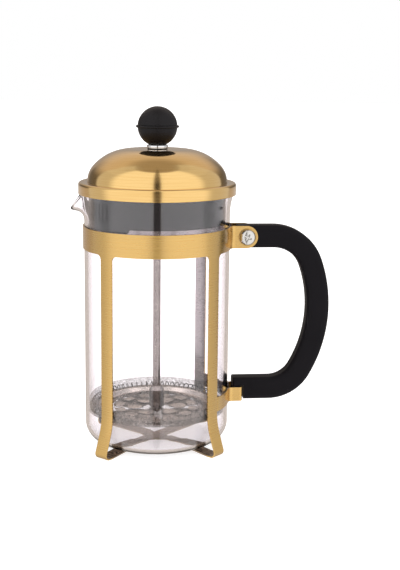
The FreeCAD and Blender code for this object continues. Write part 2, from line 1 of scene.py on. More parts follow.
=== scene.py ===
# %% [markdown]
# # A coffee press in glass, gold-coloured steel and black plastic
#
# The press is a glass beaker held in a stamped steel frame, with a moulded handle clamped to
# the frame, a domed lid over a plastic splash guard, and a plunger whose spring-edged filter
# is pushed fully down. The imported model already says where every piece is. This lesson gives
# each piece its real surface: rounded edges, folded sheet, a poured glass lip, a wound spring.
#
# First the imported model is loaded.

# %% Load the imported model
import math

import bmesh
import bpy
import numpy as np
from mathutils import Matrix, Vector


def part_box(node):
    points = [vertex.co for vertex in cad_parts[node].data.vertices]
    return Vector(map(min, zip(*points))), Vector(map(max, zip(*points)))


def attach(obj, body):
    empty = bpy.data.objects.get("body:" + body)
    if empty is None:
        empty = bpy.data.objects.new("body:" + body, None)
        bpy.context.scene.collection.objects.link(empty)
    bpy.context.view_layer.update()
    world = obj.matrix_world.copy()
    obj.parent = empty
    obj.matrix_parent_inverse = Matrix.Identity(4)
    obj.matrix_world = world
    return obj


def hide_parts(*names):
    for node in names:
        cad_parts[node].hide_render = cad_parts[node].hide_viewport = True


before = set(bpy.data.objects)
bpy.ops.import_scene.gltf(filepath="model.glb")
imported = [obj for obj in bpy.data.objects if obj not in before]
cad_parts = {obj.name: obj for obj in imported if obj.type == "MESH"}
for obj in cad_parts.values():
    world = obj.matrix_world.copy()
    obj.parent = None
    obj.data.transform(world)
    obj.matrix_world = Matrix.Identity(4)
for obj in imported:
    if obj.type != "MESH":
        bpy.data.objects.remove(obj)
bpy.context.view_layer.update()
MM = 0.001
print("nodes:", len(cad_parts))

# %% [markdown]
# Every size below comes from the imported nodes. A node's box in millimetres is enough for most
# of them: the lid's box gives its radius, the collar's top is the top of the frame, and so on.
# Only thicknesses and small roundings are written here as numbers.

# %% Sizes read from the model


def extent(node):
    """Lowest and highest corner of a node, in millimetres."""
    low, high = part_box(node)
    return np.array(low) / MM, np.array(high) / MM


beaker_low, beaker_high = extent("beaker")
frame_high = extent("frame")[1]
lid_low, lid_high = extent("lid_dome")
guard_low, guard_high = extent("splash_guard")
handle_low, handle_high = extent("handle")
bracket_low, bracket_high = extent("handle_bracket")
mesh_low, mesh_high = extent("mesh_filter")
plate_low, plate_high = extent("spiral_plate")
coil_low, coil_high = extent("spring_coil")
hub_low, hub_high = extent("filter_hub")
screw_low, screw_high = extent("handle_screw")

GLASS = 2.0                      # wall of the beaker
GLASS_BASE = 2.5
SHEET = 0.75                     # frame and bracket
LID_SHEET = 0.6
lip_radius = beaker_high[1]
wall_radius = lip_radius - 2.2
rim_z = beaker_high[2]
base_z = beaker_low[2]
band_radius = wall_radius + 0.05 + SHEET / 2      # middle of the sheet
collar_top = frame_high[2]
collar_low = collar_top - 13.4
clamp_z = (collar_top + collar_low) / 2
cheek = handle_high[1] + 0.05 + SHEET / 2         # middle of an ear's sheet, from y = 0
screw_x = (screw_low[0] + screw_high[0]) / 2
print("glass lip radius", round(lip_radius, 2), "rim height", round(rim_z, 2), "mm")

# %% [markdown]
# Most pieces of a press are turned, rolled or drawn, so their section is a line with rounded
# corners. The next cell draws such a line: straight runs joined by arcs that touch both runs.
# Two extra points stand just outside each arc. Smooth shading blends the light between
# neighbouring points, and those two keep that blend inside the rounding, so flat faces stay flat.

# %% Lines with rounded corners


def rounded(points, radii, steps=6, hold=0.12):
    """Points of a line whose inner corners are arcs: radius * tan(turn / 2) back along each run
    is where an arc starts, and its centre stands radius / cos(turn / 2) inside the corner."""
    points = np.asarray(points, float)
    out = [points[:1]]
    for before, corner, after, radius in zip(points, points[1:], points[2:], radii):
        back = (before - corner) / np.linalg.norm(before - corner)
        ahead = (after - corner) / np.linalg.norm(after - corner)
        half = math.acos(np.clip(back @ ahead, -1, 1)) / 2
        if radius == 0:
            out.append(corner[None])
            continue
        reach = radius / math.tan(half)
        inward = (back + ahead) / np.linalg.norm(back + ahead)
        centre = corner + inward * radius / math.sin(half)
        start = corner + back * reach - centre
        end = corner + ahead * reach - centre
        sweep = math.pi - 2 * half
        t = np.linspace(0, 1, steps + 1)[:, None]
        arc = (np.sin((1 - t) * sweep) * start + np.sin(t * sweep) * end) / math.sin(sweep)
        out += [corner[None] + back * (reach + hold), centre + arc, corner[None] + ahead * (reach + hold)]
    out.append(points[-1:])
    return np.concatenate(out)


def loop(points, radii, steps=5, hold=0.12):
    """The same for a closed outline: it starts half way along its last side."""
    points = np.asarray(points, float)
    start = (points[:1] + points[-1:]) / 2
    return rounded(np.concatenate([start, points, start]), radii, steps, hold)[:-1]


def arc_points(centre, radius, start, end, count):
    """Points on a circle from one angle in degrees to another: centre + radius * (cos, sin)."""
    angle = np.radians(np.linspace(start, end, count))[:, None]
    return np.asarray(centre, float) + radius * np.concatenate([np.cos(angle), np.sin(angle)], 1)


def line_normals(line):
    """Unit vectors to the left of a line: its direction by central differences, turned 90 degrees."""
    along = np.gradient(line, axis=0)
    along /= np.linalg.norm(along, axis=1)[:, None]
    return np.stack([-along[:, 1], along[:, 0]], 1)


def sheet_section(middle, thickness, steps=5):
    """Closed section of bent sheet: the middle line moved half the thickness to each side,
    and a half circle round each of its two ends."""
    half = thickness / 2
    normal = line_normals(middle)
    t = np.linspace(0, math.pi, steps + 2)[1:-1, None]
    last = normal[-1] * np.cos(t) + np.array([normal[-1][1], -normal[-1][0]]) * np.sin(t)
    first = -normal[0] * np.cos(t) - np.array([normal[0][1], -normal[0][0]]) * np.sin(t)
    return np.concatenate([middle + normal * half, middle[-1] + half * last,
                           (middle - normal * half)[::-1], middle[0] + half * first])


# %% [markdown]
# A surface is a grid of points. The next cell turns such grids into one mesh: each little
# square of the grid is a face, a grid may close on itself in either direction, and points that
# coincide, as at a pole or where two strips meet, are merged. The face list is worked out as
# one array, so half a million faces cost nothing. Each face also gets a place on a flat map,
# in millimetres along the grid's two directions, for patterns such as woven wire.

# %% Meshes from grids


def grid_faces(rows, columns, wrap_rows, wrap_columns):
    """Corner numbers (r, c), (r, c+1), (r+1, c+1), (r+1, c) of every square, wrapped where asked."""
    r, c = np.meshgrid(np.arange(rows - (not wrap_rows)), np.arange(columns - (not wrap_columns)),
                       indexing="ij")
    corners = [(r, c), (r, c + 1), (r + 1, c + 1), (r + 1, c)]
    index = np.stack([(a % rows) * columns + b % columns for a, b in corners], -1)
    flat = np.stack([a * (columns + 1) + b for a, b in corners], -1)
    return index.reshape(-1, 4), flat.reshape(-1, 4)


def flat_map(grid):
    """Distance along each direction of the grid, one row and column longer than the grid."""
    closed = np.concatenate([grid, grid[:1]], 0)
    closed = np.concatenate([closed, closed[:, :1]], 1)
    across = np.linalg.norm(np.diff(closed, axis=1), axis=2).max(0)
    down = np.linalg.norm(np.diff(closed, axis=0), axis=2).max(1)
    u = np.concatenate([[0], np.cumsum(across)])
    v = np.concatenate([[0], np.cumsum(down)])
    return np.stack(np.broadcast_arrays(u[None, :], v[:, None]), -1).reshape(-1, 2)


def surface(name, grids):
    """One mesh from several grids of points in millimetres, each given as (grid, wrap_rows, wrap_columns)."""
    points, faces, places = [], [], []
    count = 0
    for grid, wrap_rows, wrap_columns in grids:
        index, flat = grid_faces(*grid.shape[:2], wrap_rows, wrap_columns)
        points.append(grid.reshape(-1, 3) * MM)
        faces.append(index + count)
        places.append(flat_map(grid)[flat.reshape(-1)])
        count += grid.shape[0] * grid.shape[1]
    points, faces, places = (np.concatenate(a) for a in (points, faces, places))
    mesh = bpy.data.meshes.new(name)
    mesh.vertices.add(len(points))
    mesh.vertices.foreach_set("co", points.ravel())
    mesh.loops.add(faces.size)
    mesh.loops.foreach_set("vertex_index", faces.ravel())
    mesh.polygons.add(len(faces))
    mesh.polygons.foreach_set("loop_start", np.arange(0, faces.size, 4))
    mesh.update(calc_edges=True)
    mesh.uv_layers.new(name="flat").data.foreach_set("uv", (places * MM).ravel())
    return close_up(mesh)


def close_up(mesh):
    """Merge points that coincide, drop faces with no area and turn all faces outwards."""
    work = bmesh.new()
    work.from_mesh(mesh)
    bmesh.ops.remove_doubles(work, verts=work.verts, dist=0.002 * MM)
    bmesh.ops.dissolve_degenerate(work, edges=work.edges, dist=0.0005 * MM)
    bmesh.ops.recalc_face_normals(work, faces=work.faces)
    work.to_mesh(mesh)
    work.free()
    mesh.polygons.foreach_set("use_smooth", np.ones(len(mesh.polygons), bool))
    return mesh


def turned(section, segments=192, closed=True):
    """Grid of a turned piece: (r cos a, r sin a, z) for each point (r, z) of the section."""
    angle = np.linspace(0, 2 * math.pi, segments, endpoint=False)
    r = section[:, :1]
    z = np.broadcast_to(section[:, 1:], (len(section), segments))
    return np.stack([r * np.cos(angle), r * np.sin(angle), z], -1), closed, True


# %% [markdown]
# Every finished mesh becomes a piece that rides on a body of the model and hides the plain
# node it stands for. Where a piece is cut, as a slot in moulded plastic, the cutter is a mesh
# too, and the cut is made with an exact boolean, whose result is kept as the piece's mesh.

# %% Pieces, cutters and finishing modifiers


def piece(name, mesh, body, nodes, material):
    """Put a mesh in the scene as a piece that rides on a body and replaces the nodes given."""
    made = bpy.data.objects.new(name, mesh)
    bpy.context.scene.collection.objects.link(made)
    mesh.materials.clear()
    mesh.materials.append(material)
    mesh.set_sharp_from_angle(angle=math.radians(42))
    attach(made, body)
    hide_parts(*nodes)
    print(name, len(mesh.polygons), "faces")
    return made


def baked(mesh, modifiers):
    """The mesh after modifiers, each given as (kind, settings)."""
    carrier = bpy.data.objects.new("carrier", mesh)
    bpy.context.scene.collection.objects.link(carrier)
    for kind, settings in modifiers:
        modifier = carrier.modifiers.new(kind, kind)
        for key, value in settings.items():
            setattr(modifier, key, value)
    evaluated = carrier.evaluated_get(bpy.context.evaluated_depsgraph_get())
    result = bpy.data.meshes.new_from_object(evaluated)
    bpy.data.objects.remove(carrier)
    result.polygons.foreach_set("use_smooth", np.ones(len(result.polygons), bool))
    return result


def cut(mesh, cutter):
    """The mesh less the cutter."""
    tool = bpy.data.objects.new("cutter", cutter)
    bpy.context.scene.collection.objects.link(tool)
    result = baked(mesh, [("BOOLEAN", {"operation": "DIFFERENCE", "solver": "EXACT", "object": tool})])
    bpy.data.objects.remove(tool)
    return result


def sheet_from(name, grids, thickness, edge=0.12):
    """Sheet metal from its middle surface: thickness to both sides, then the cut edges rounded."""
    middle = surface(name, grids)
    return baked(middle, [
        ("SOLIDIFY", {"thickness": thickness * MM, "offset": 0.0, "use_even_offset": True}),
        ("BEVEL", {"width": edge * MM, "segments": 2, "limit_method": "ANGLE",
                   "angle_limit": math.radians(50), "harden_normals": False})])


# %% [markdown]
# ## Finishes
#
# A colour picked from a chart is an sRGB value, and Blender's shaders want it linear: one
# function converts. A second small function adds a node with its settings, and links or sets
# its inputs. Every material starts from a real one and its usual index, metalness and polish.

# %% Colour and node helpers


def linear(code):
    """sRGB hex to linear: c / 12.92 below 0.04045, else ((c + 0.055) / 1.055) ** 2.4."""
    c = np.array([int(code[i:i + 2], 16) for i in (1, 3, 5)]) / 255
    c = np.where(c <= 0.04045, c / 12.92, ((c + 0.055) / 1.055) ** 2.4)
    return (*c.tolist(), 1.0)


def add(tree, kind, inputs, out=0, **settings):
    """Add a node with its settings, link the inputs that are sockets, set the rest, and give one output."""
    made = tree.nodes.new("ShaderNode" + kind)
    for key, value in settings.items():
        setattr(made, key, value)
    for key, value in inputs.items():
        if isinstance(value, bpy.types.NodeSocket):
            tree.links.new(value, made.inputs[key])
        else:
            made.inputs[key].default_value = value
    return made.outputs[out] if made.outputs else None


def start(name):
    """An empty material and its node tree."""
    material = bpy.data.materials.new(name)
    material.use_nodes = True
    material.node_tree.nodes.clear()
    return material, material.node_tree


def close(material, tree, inputs):
    """One Principled shader with these inputs, straight to the output."""
    shader = add(tree, "BsdfPrincipled", inputs)
    add(tree, "OutputMaterial", {"Surface": shader})
    print("finish:", material.name)
    return material


# %% [markdown]
# Brushed metal is a field of fine parallel scratches. Here they run round the Z axis, as a
# belt leaves them on rolled sheet and a lathe leaves them on a pressed lid. So the noise must
# change fast up the piece and slowly round it: its vector is the direction from the axis,
# which only changes slowly, plus the distance along the section, many times larger. Real
# scratches are hundredths of a millimetre apart and would vanish, so these are drawn coarser.
# The steel carries a gold-coloured coat thin enough to keep them.

# %% Gold-coated brushed steel


def brushed_gold(name, dark, light, bare, polish, scratch_mm, radius_share):
    """Scratches are noise on (cos a, sin a) * 0.0008 + (z - radius * radius_share), scratch_mm apart.
    The coat is on the outside only, so faces turned to the axis show bare steel. Below 14 mm, faces turned up
    and all faces under the glass take that bare steel colour as painted shade, and between 14 and 6 mm
    the bare steel colour turns brown as painted shade towards the table. A thin clear lacquer lies on all."""
    material, tree = start(name)
    place = add(tree, "TexCoord", {}, "Object")
    flat = add(tree, "VectorMath", {0: place, 1: (1, 1, 0)}, operation="MULTIPLY")
    radius = add(tree, "VectorMath", {0: flat}, "Value", operation="LENGTH")
    away = add(tree, "VectorMath", {0: flat}, operation="NORMALIZE")
    slow = add(tree, "VectorMath", {0: away, "Scale": 0.0008}, operation="SCALE")
    height = add(tree, "SeparateXYZ", {0: place}, 2)
    run = add(tree, "Math", {0: radius, 1: -radius_share, 2: height}, operation="MULTIPLY_ADD")
    up = add(tree, "CombineXYZ", {2: run})
    vector = add(tree, "VectorMath", {0: slow, 1: up}, operation="ADD")
    scratches = add(tree, "TexNoise", {"Vector": vector, "Scale": 1 / (scratch_mm * MM), "Detail": 2.0,
                                       "Roughness": 0.5})
    clouds = add(tree, "TexNoise", {"Vector": place, "Scale": 1 / (14 * MM)})
    tone = add(tree, "MapRange", {"Value": scratches, "From Min": 0.3, "From Max": 0.7})
    coat = add(tree, "Mix", {0: tone, 6: linear(dark), 7: linear(light)}, 2, data_type="RGBA")
    facing = add(tree, "TexCoord", {}, "Normal")
    outward = add(tree, "VectorMath", {0: facing, 1: away}, "Value", operation="DOT_PRODUCT")
    inner = add(tree, "MapRange", {"Value": outward, "From Min": -0.2, "From Max": -0.4})
    # painted shade: below 14 mm the bare steel colour turns brown towards the table, down to 6 mm
    under = add(tree, "MapRange", {"Value": height, "From Min": 14 * MM, "From Max": 6 * MM})
    steel = add(tree, "Mix", {0: under, 6: linear(bare), 7: linear("#93806a")}, 2, data_type="RGBA")
    # painted shade: low down, faces turned up and faces under the glass take the bare steel colour
    upward = add(tree, "MapRange", {"Value": add(tree, "SeparateXYZ", {0: facing}, 2),
                                    "From Min": 0.4, "From Max": 0.6})
    low = add(tree, "MapRange", {"Value": height, "From Min": 14 * MM, "From Max": 10 * MM})
    under_glass = add(tree, "MapRange", {"Value": radius, "From Min": 45 * MM, "From Max": 42 * MM})
    painted_shade_place = add(tree, "Math", {0: upward, 1: under_glass}, operation="MAXIMUM")
    painted_shade_low = add(tree, "Math", {0: painted_shade_place, 1: low}, operation="MULTIPLY")
    bare_inside_and_painted_shade = add(tree, "Math", {0: inner, 1: painted_shade_low}, operation="MAXIMUM")
    colour = add(tree, "Mix", {0: bare_inside_and_painted_shade, 6: coat, 7: steel}, 2, data_type="RGBA")
    fine = add(tree, "MapRange", {"Value": scratches, "To Min": polish - 0.02, "To Max": polish + 0.02})
    rough = add(tree, "Math", {0: clouds, 1: 0.05, 2: fine}, operation="MULTIPLY_ADD")
    normal = add(tree, "Bump", {"Height": scratches, "Distance": 0.0015 * MM, "Strength": 0.2})
    tangent = add(tree, "Tangent", {}, direction_type="RADIAL", axis="Z")
    return close(material, tree, {"Base Color": colour, "Metallic": 1.0, "Roughness": rough,
                                  "Anisotropic": 0.4, "Coat Weight": 0.5, "Coat Roughness": 0.1,
                                  "Normal": normal, "Tangent": tangent})


frame_gold = brushed_gold("gold_coated_steel_satin", "#c29c5a", "#c8a360", "#a59c9c", 0.25, 0.6, 0.0)
lid_gold = brushed_gold("gold_coated_steel_turned", "#cfa967", "#d6b273", "#a59c9c", 0.10, 0.6, 1.0)

# %% [markdown]
# Borosilicate glass bends light a little less than window glass: index 1.47. It is drawn from
# a softened tube, so its wall is never quite even, and a very shallow slow relief gives the
# wandering highlights that tell glass from clear plastic.

# %% Beaker glass

glass, tree = start("borosilicate_glass")
place = add(tree, "TexCoord", {}, "Object")
slow = add(tree, "TexNoise", {"Vector": place, "Scale": 1 / (30 * MM), "Detail": 1.0})
haze = add(tree, "TexNoise", {"Vector": place, "Scale": 1 / (9 * MM)})
# seen edge-on the glass gets a painted grey-lilac shade for the dim room it refracts there, and a faint painted shade
# from half way to the edge
edge_on = add(tree, "LayerWeight", {"Blend": 0.5}, "Facing")
band = add(tree, "MapRange", {"Value": edge_on, "From Min": 0.47, "From Max": 0.53},
           interpolation_type="SMOOTHSTEP")
edge_painted_shade = add(tree, "MapRange", {"Value": edge_on, "From Min": 0.86, "From Max": 0.97},
               interpolation_type="SMOOTHSTEP")
soft = add(tree, "Mix", {0: band, 6: linear("#fdfafc"), 7: linear("#f8f4f8")}, 2, data_type="RGBA")
close(glass, tree, {
    "Base Color": add(tree, "Mix", {0: edge_painted_shade, 6: soft, 7: linear("#d9d1da")}, 2, data_type="RGBA"),
    "Metallic": 0.0, "IOR": 1.47, "Transmission Weight": 1.0,
    "Roughness": add(tree, "MapRange", {"Value": haze, "To Min": 0.0, "To Max": 0.02}),
    "Normal": add(tree, "Bump", {"Height": slow, "Distance": 0.08 * MM, "Strength": 0.3})})

# %% [markdown]
# The handle and knob are moulded from a spark-eroded mould: a fine even grain that spreads
# the highlight into a soft grey sheen. The guard comes from a polished mould, so it mirrors
# the lights almost like lacquer, with faint flow waves.

# %% Moulded plastics


def moulded(name, dark, light, grain_mm, depth_mm, polish, shine=0.5):
    """Moulded plastic: grain is noise of grain_mm lumps, colour drifts over 22 mm."""
    material, tree = start(name)
    place = add(tree, "TexCoord", {}, "Object")
    grain = add(tree, "TexNoise", {"Vector": place, "Scale": 1 / (grain_mm * MM), "Detail": 3.0})
    drift = add(tree, "TexNoise", {"Vector": place, "Scale": 1 / (22 * MM)})
    return close(material, tree, {
        "Base Color": add(tree, "Mix", {0: drift, 6: linear(dark), 7: linear(light)}, 2, data_type="RGBA"),
        "Roughness": add(tree, "MapRange", {"Value": grain, "To Min": polish - 0.06,
                                            "To Max": polish + 0.08}),
        "IOR": 1.49, "Specular IOR Level": shine,
        "Normal": add(tree, "Bump", {"Height": grain, "Distance": depth_mm * MM, "Strength": 0.6})})


handle_plastic = moulded("black_polypropylene_grained", "#0d0b0e", "#131114", 0.8, 0.05, 0.46, 0.07)
knob_plastic = moulded("black_phenolic_grained", "#0d0b0c", "#171416", 1.1, 0.35, 0.40, 0.16)
guard_plastic = moulded("black_abs_polished", "#1a171a", "#211d21", 12.0, 0.02, 0.10)
nylon = moulded("natural_nylon_moulded", "#cfcabd", "#dcd8cc", 1.5, 0.03, 0.40)
fibre = moulded("vulcanised_fibre_black", "#242322", "#33312f", 0.5, 0.04, 0.75)

# %% [markdown]
# Bare steels differ mostly in how they were worked: a drawn rod carries lines along its
# length, pressed sheet a rolled grain, plated screws an even mirror with small scuffs.

# %% Bare metals


def worked(name, dark, light, polish, stretch, grain_mm, depth_mm):
    """Bare metal: grain is noise on coordinates divided by stretch, so it runs along the largest."""
    material, tree = start(name)
    place = add(tree, "TexCoord", {}, "Object")
    along = add(tree, "Mapping", {"Vector": place, "Scale": tuple(1 / s for s in stretch)})
    grain = add(tree, "TexNoise", {"Vector": along, "Scale": 1 / (grain_mm * MM), "Detail": 4.0})
    stain = add(tree, "TexNoise", {"Vector": place, "Scale": 1 / (7 * MM)})
    return close(material, tree, {
        "Base Color": add(tree, "Mix", {0: stain, 6: linear(dark), 7: linear(light)}, 2, data_type="RGBA"),
        "Metallic": 1.0,
        "Roughness": add(tree, "MapRange", {"Value": grain, "To Min": polish - 0.06,
                                            "To Max": polish + 0.08}),
        "Normal": add(tree, "Bump", {"Height": grain, "Distance": depth_mm * MM, "Strength": 0.5})})


chrome = worked("chromium_plate_polished", "#cfcfd2", "#dededf", 0.10, (1, 1, 1), 0.6, 0.006)
nickel = worked("nickel_plate_tumbled", "#b9b6b2", "#d2cfca", 0.20, (1, 1, 1), 0.4, 0.012)
rod_steel = worked("stainless_rod_drawn", "#a59d9a", "#beb6b2", 0.22, (1, 1, 40), 0.25, 0.010)
plate_steel = worked("stainless_sheet_pressed", "#b5aba4", "#d0c6be", 0.26, (12, 1, 1), 0.4, 0.012)
hub_steel = worked("stainless_bar_turned", "#8f8784", "#aaa29e", 0.24, (1, 1, 30), 0.3, 0.012)
wire_steel = worked("spring_wire_bright", "#5e5651", "#857c76", 0.24, (1, 1, 1), 0.5, 0.008)
brass = worked("brass_turned", "#b08a48", "#c9a45e", 0.28, (1, 1, 12), 0.4, 0.010)

# %% [markdown]
# The filter cloth is woven from stainless wire a tenth of a millimetre thick. At this size
# single wires cannot be seen, so the weave is drawn at 0.7 mm: two sets of waves on the
# piece's flat map cross each other, and a mottle breaks them up as a used cloth does.

# %% Woven wire

cloth_wire, tree = start("stainless_wire_cloth")
place = add(tree, "UVMap", {}, uv_map="flat")
# a band wave repeats every 2 pi / 20 of its input at scale 1
warp, weft = (add(tree, "TexWave", {"Vector": place, "Scale": math.pi / 10 / (0.7 * MM)}, 1,
                  bands_direction=direction) for direction in "XY")
crossing = add(tree, "Math", {0: warp, 1: weft}, operation="MAXIMUM")
mottle = add(tree, "TexNoise", {"Vector": add(tree, "TexCoord", {}, "Object"), "Scale": 1 / (1.6 * MM),
                                "Detail": 3.0})
tone = add(tree, "Math", {0: crossing, 1: mottle}, operation="MULTIPLY")
close(cloth_wire, tree, {
    "Base Color": add(tree, "Mix", {
        0: add(tree, "MapRange", {"Value": tone, "From Min": 0.15, "From Max": 0.6}),
        6: linear("#544b44"), 7: linear("#b5aaa0")}, 2, data_type="RGBA"),
    "Metallic": 1.0, "Roughness": 0.38,
    "Alpha": add(tree, "MapRange", {"Value": tone, "From Min": 0.1, "From Max": 0.5, "To Min": 0.05,
                                    "To Max": 0.48}),
    "Normal": add(tree, "Bump", {"Height": crossing, "Distance": 0.08 * MM, "Strength": 0.5})})

# %% [markdown]
# ## The glass beaker
#
# The beaker is blown and rolled: one wall of even thickness, a thicker base, a flared lip with
# a fire-polished edge, and a spout pulled out while the glass was soft. So it is made as the
# middle surface of the wall, on a grid of angle and height, given thickness on both sides. The
# spout is a second section, and each angle takes a share of it that fades away from the spout.

# %% Beaker


def resampled(line, count):
    """The same line with equally spaced points: positions read off against distance along it."""
    run = np.concatenate([[0], np.cumsum(np.linalg.norm(np.diff(line, axis=0), axis=1))])
    at = np.linspace(0, run[-1], count)
    return np.stack([np.interp(at, run, line[:, 0]), np.interp(at, run, line[:, 1])], 1)


def share(turn, reach, power):
    """cos(turn / reach * 90 degrees) to a power, and zero beyond reach."""
    return np.cos(np.clip(turn / reach, -1, 1) * math.pi / 2) ** power


wall_middle = wall_radius - GLASS / 2
spout_x = -beaker_low[0]
zone = rim_z - 21.7                   # the spout is shaped above this height
plain_low = rounded([(0, base_z + GLASS_BASE / 2), (wall_middle, base_z + GLASS_BASE / 2),
                     (wall_middle, zone)], [10.5], 14)
plain_low = np.concatenate([plain_low[:-1], resampled(plain_low[-2:], 12)[1:]])
plain_low = np.concatenate([resampled(plain_low[:2], 10)[:-1], plain_low[1:]])
plain_top = resampled(rounded([(wall_middle, zone), (wall_middle, rim_z - 12.5),
                               (lip_radius - 1, rim_z - 1)], [30], 8), 34)[1:]
spout_line = resampled(rounded([(wall_middle, zone), (wall_middle, rim_z - 14.6),
                                (spout_x - 1, rim_z - 13.0)], [6.0], 10), 34)[1:]
angle = np.linspace(0, 2 * math.pi, 288, endpoint=False)
turn = np.degrees(np.angle(np.exp(1j * (angle - math.pi))))
reach = np.linspace(27, 18, len(plain_top))[:, None]      # the trough is narrowest at the rim
toward_z = share(turn / reach, 1, 2.0)
toward_r = toward_z ** 1.7
top_r = plain_top[:, :1] + (spout_line - plain_top)[:, :1] * toward_r
top_z = plain_top[:, 1:] + (spout_line - plain_top)[:, 1:] * toward_z
r = np.concatenate([np.repeat(plain_low[:, :1], 288, 1), top_r])
z = np.concatenate([np.repeat(plain_low[:, 1:], 288, 1), top_z])
middle = np.stack([r * np.cos(angle), r * np.sin(angle), z], -1)


def walled(middle, half, steps=7):
    """Closed wall round a middle surface that starts at a pole and ends at a rim: the surface moved by
    half its thickness along both normals, joined by a half circle round the rim."""
    wide = np.concatenate([middle[:, -1:], middle, middle[:, :1]], 1)
    along = np.gradient(middle, axis=0)
    across = np.gradient(wide, axis=1)[:, 1:-1]
    normal = np.cross(across, along)
    normal[0] = (0, 0, -1)
    normal /= np.linalg.norm(normal, axis=2)[..., None]
    t = np.linspace(0, math.pi, steps + 2)[1:-1, None, None]
    out = along[-1] / np.linalg.norm(along[-1], axis=1)[:, None]
    rim = middle[-1] + half[-1] * (np.cos(t) * normal[-1] + np.sin(t) * out)
    return np.concatenate([middle + half * normal, rim, (middle - half * normal)[::-1]])


base_share = np.clip((r - 30) / 10, 0, 1)[..., None]
half = (GLASS_BASE * (1 - base_share) + GLASS * base_share) / 2
piece("beaker_glass", surface("beaker_glass", [(walled(middle, half), False, True)]),
      "root", ["beaker"], glass)

# %% [markdown]
# ## The frame
#
# The frame is cut and bent from one kind of sheet: a band round the glass whose ends turn out
# into two ears, and two straps that run down as legs, kick out to feet and cross under the
# glass. Its middle surface is drawn as a few grids that share their edges, so legs grow out of
# the band with rounded inside corners. Solidify then gives the sheet its thickness and Bevel
# breaks its cut edges.

# %% Band and ears

bend_radius = 3.0 + SHEET / 2
bend_y = cheek + bend_radius
bend_x = math.sqrt((band_radius + bend_radius) ** 2 - bend_y ** 2)
tangent = math.degrees(math.atan2(bend_y, bend_x))
leg_half = 4.3
corner = 3.0
flare = np.sin(np.linspace(-math.pi / 2, math.pi / 2, 15))      # columns across a leg, -1 to 1
leg_turn = np.degrees((leg_half + corner) / band_radius)
rows = np.concatenate([[collar_low, collar_low + 0.2], np.linspace(collar_low + 0.8, collar_top - 0.8, 17),
                       [collar_top - 0.2, collar_top]])


def band_line(high, end_x, legs=True):
    """Half of the band in plan, from behind the glass to the end of an ear at +y: an arc about the
    axis, an arc about the bend's centre, and a straight run. high is the angle where it starts."""
    if legs:
        spans = [np.linspace(180, 135 + leg_turn, 12)[:-1], 135 - flare * leg_turn,
                 np.linspace(135 - leg_turn, 45 + leg_turn, 22)[1:-1], 45 - flare * leg_turn,
                 np.linspace(45 - leg_turn, tangent, 10)[1:-1]]
        turns = np.radians(np.concatenate(spans))[:, None]
    else:
        turns = np.radians(np.linspace(high, tangent, 12)[:-1])[:, None]
    round_part = band_radius * np.concatenate([np.cos(turns), np.sin(turns)], 1)
    bend = arc_points((bend_x, bend_y), bend_radius, 180 + tangent, 270, 13)
    steps = max(2, int((end_x - bend_x) / 0.5))
    ear = np.stack([np.linspace(bend_x, end_x, steps), np.full(steps, cheek)], 1)[1:]
    return np.concatenate([round_part, bend, ear])


def bulge(line, rows):
    """Height of the stiffening rib pressed into the bend: an oval of half sizes 1.7 by 5.4 mm."""
    run = np.concatenate([[0], np.cumsum(np.linalg.norm(np.diff(line, axis=0), axis=1))])
    start_x = band_radius * math.cos(math.radians(tangent))
    centre = run[np.argmin(np.abs(line[:, 0] - start_x) + (line[:, 1] > bend_y + 1) * 99)]
    across = (run - centre)[None, :] / 1.7
    up = (rows - clamp_z)[:, None] / 5.4
    inside = np.clip(1 - across ** 2 - up ** 2, 0, 1)
    return 0.7 * inside ** 2 * (3 - 2 * inside)


EAR_START = 49.2
line = band_line(180, EAR_START)
outward = line_normals(line)
outward *= np.sign((outward * line).sum(1).mean())
high = bulge(line, rows)
half_band = np.stack([line[:, 0] + outward[:, 0] * high, line[:, 1] + outward[:, 1] * high,
                      np.repeat(rows[:, None], len(line), 1)], -1)
mirror = np.array([1, -1, 1])

tip_x = frame_high[0]
round_x = tip_x - 6.7
side_steps = np.linspace(EAR_START, round_x, 9)[1:-1]
edge = np.concatenate([
    np.stack([np.full(len(rows), EAR_START), rows], 1)[::-1],
    np.stack([side_steps, np.full(7, collar_low)], 1),
    arc_points((round_x, clamp_z), 6.7, -90, 90, 33),
    np.stack([side_steps[::-1], np.full(7, collar_top)], 1)])
hole = np.array([screw_x, clamp_z])
spoke = edge - hole
rim = hole + 2.2 * spoke / np.linalg.norm(spoke, axis=1)[:, None]
share_out = np.array([0, 0.04, 0.25, 0.5, 0.75, 0.96, 1])[:, None, None]
flat = rim + (edge - rim) * share_out
ear = np.stack([flat[..., 0], np.full(flat.shape[:2], cheek), flat[..., 1]], -1)
print("band columns", len(line), "ear rings", len(share_out))

# %% Legs and feet

KICK_Z = 19.5       # height where a leg starts to lean out
KICK_OUT = 6.4      # how far the foot's corner stands out from the leg
FOOT_BEND = 3.0     # outer radius where the foot folds in under the glass


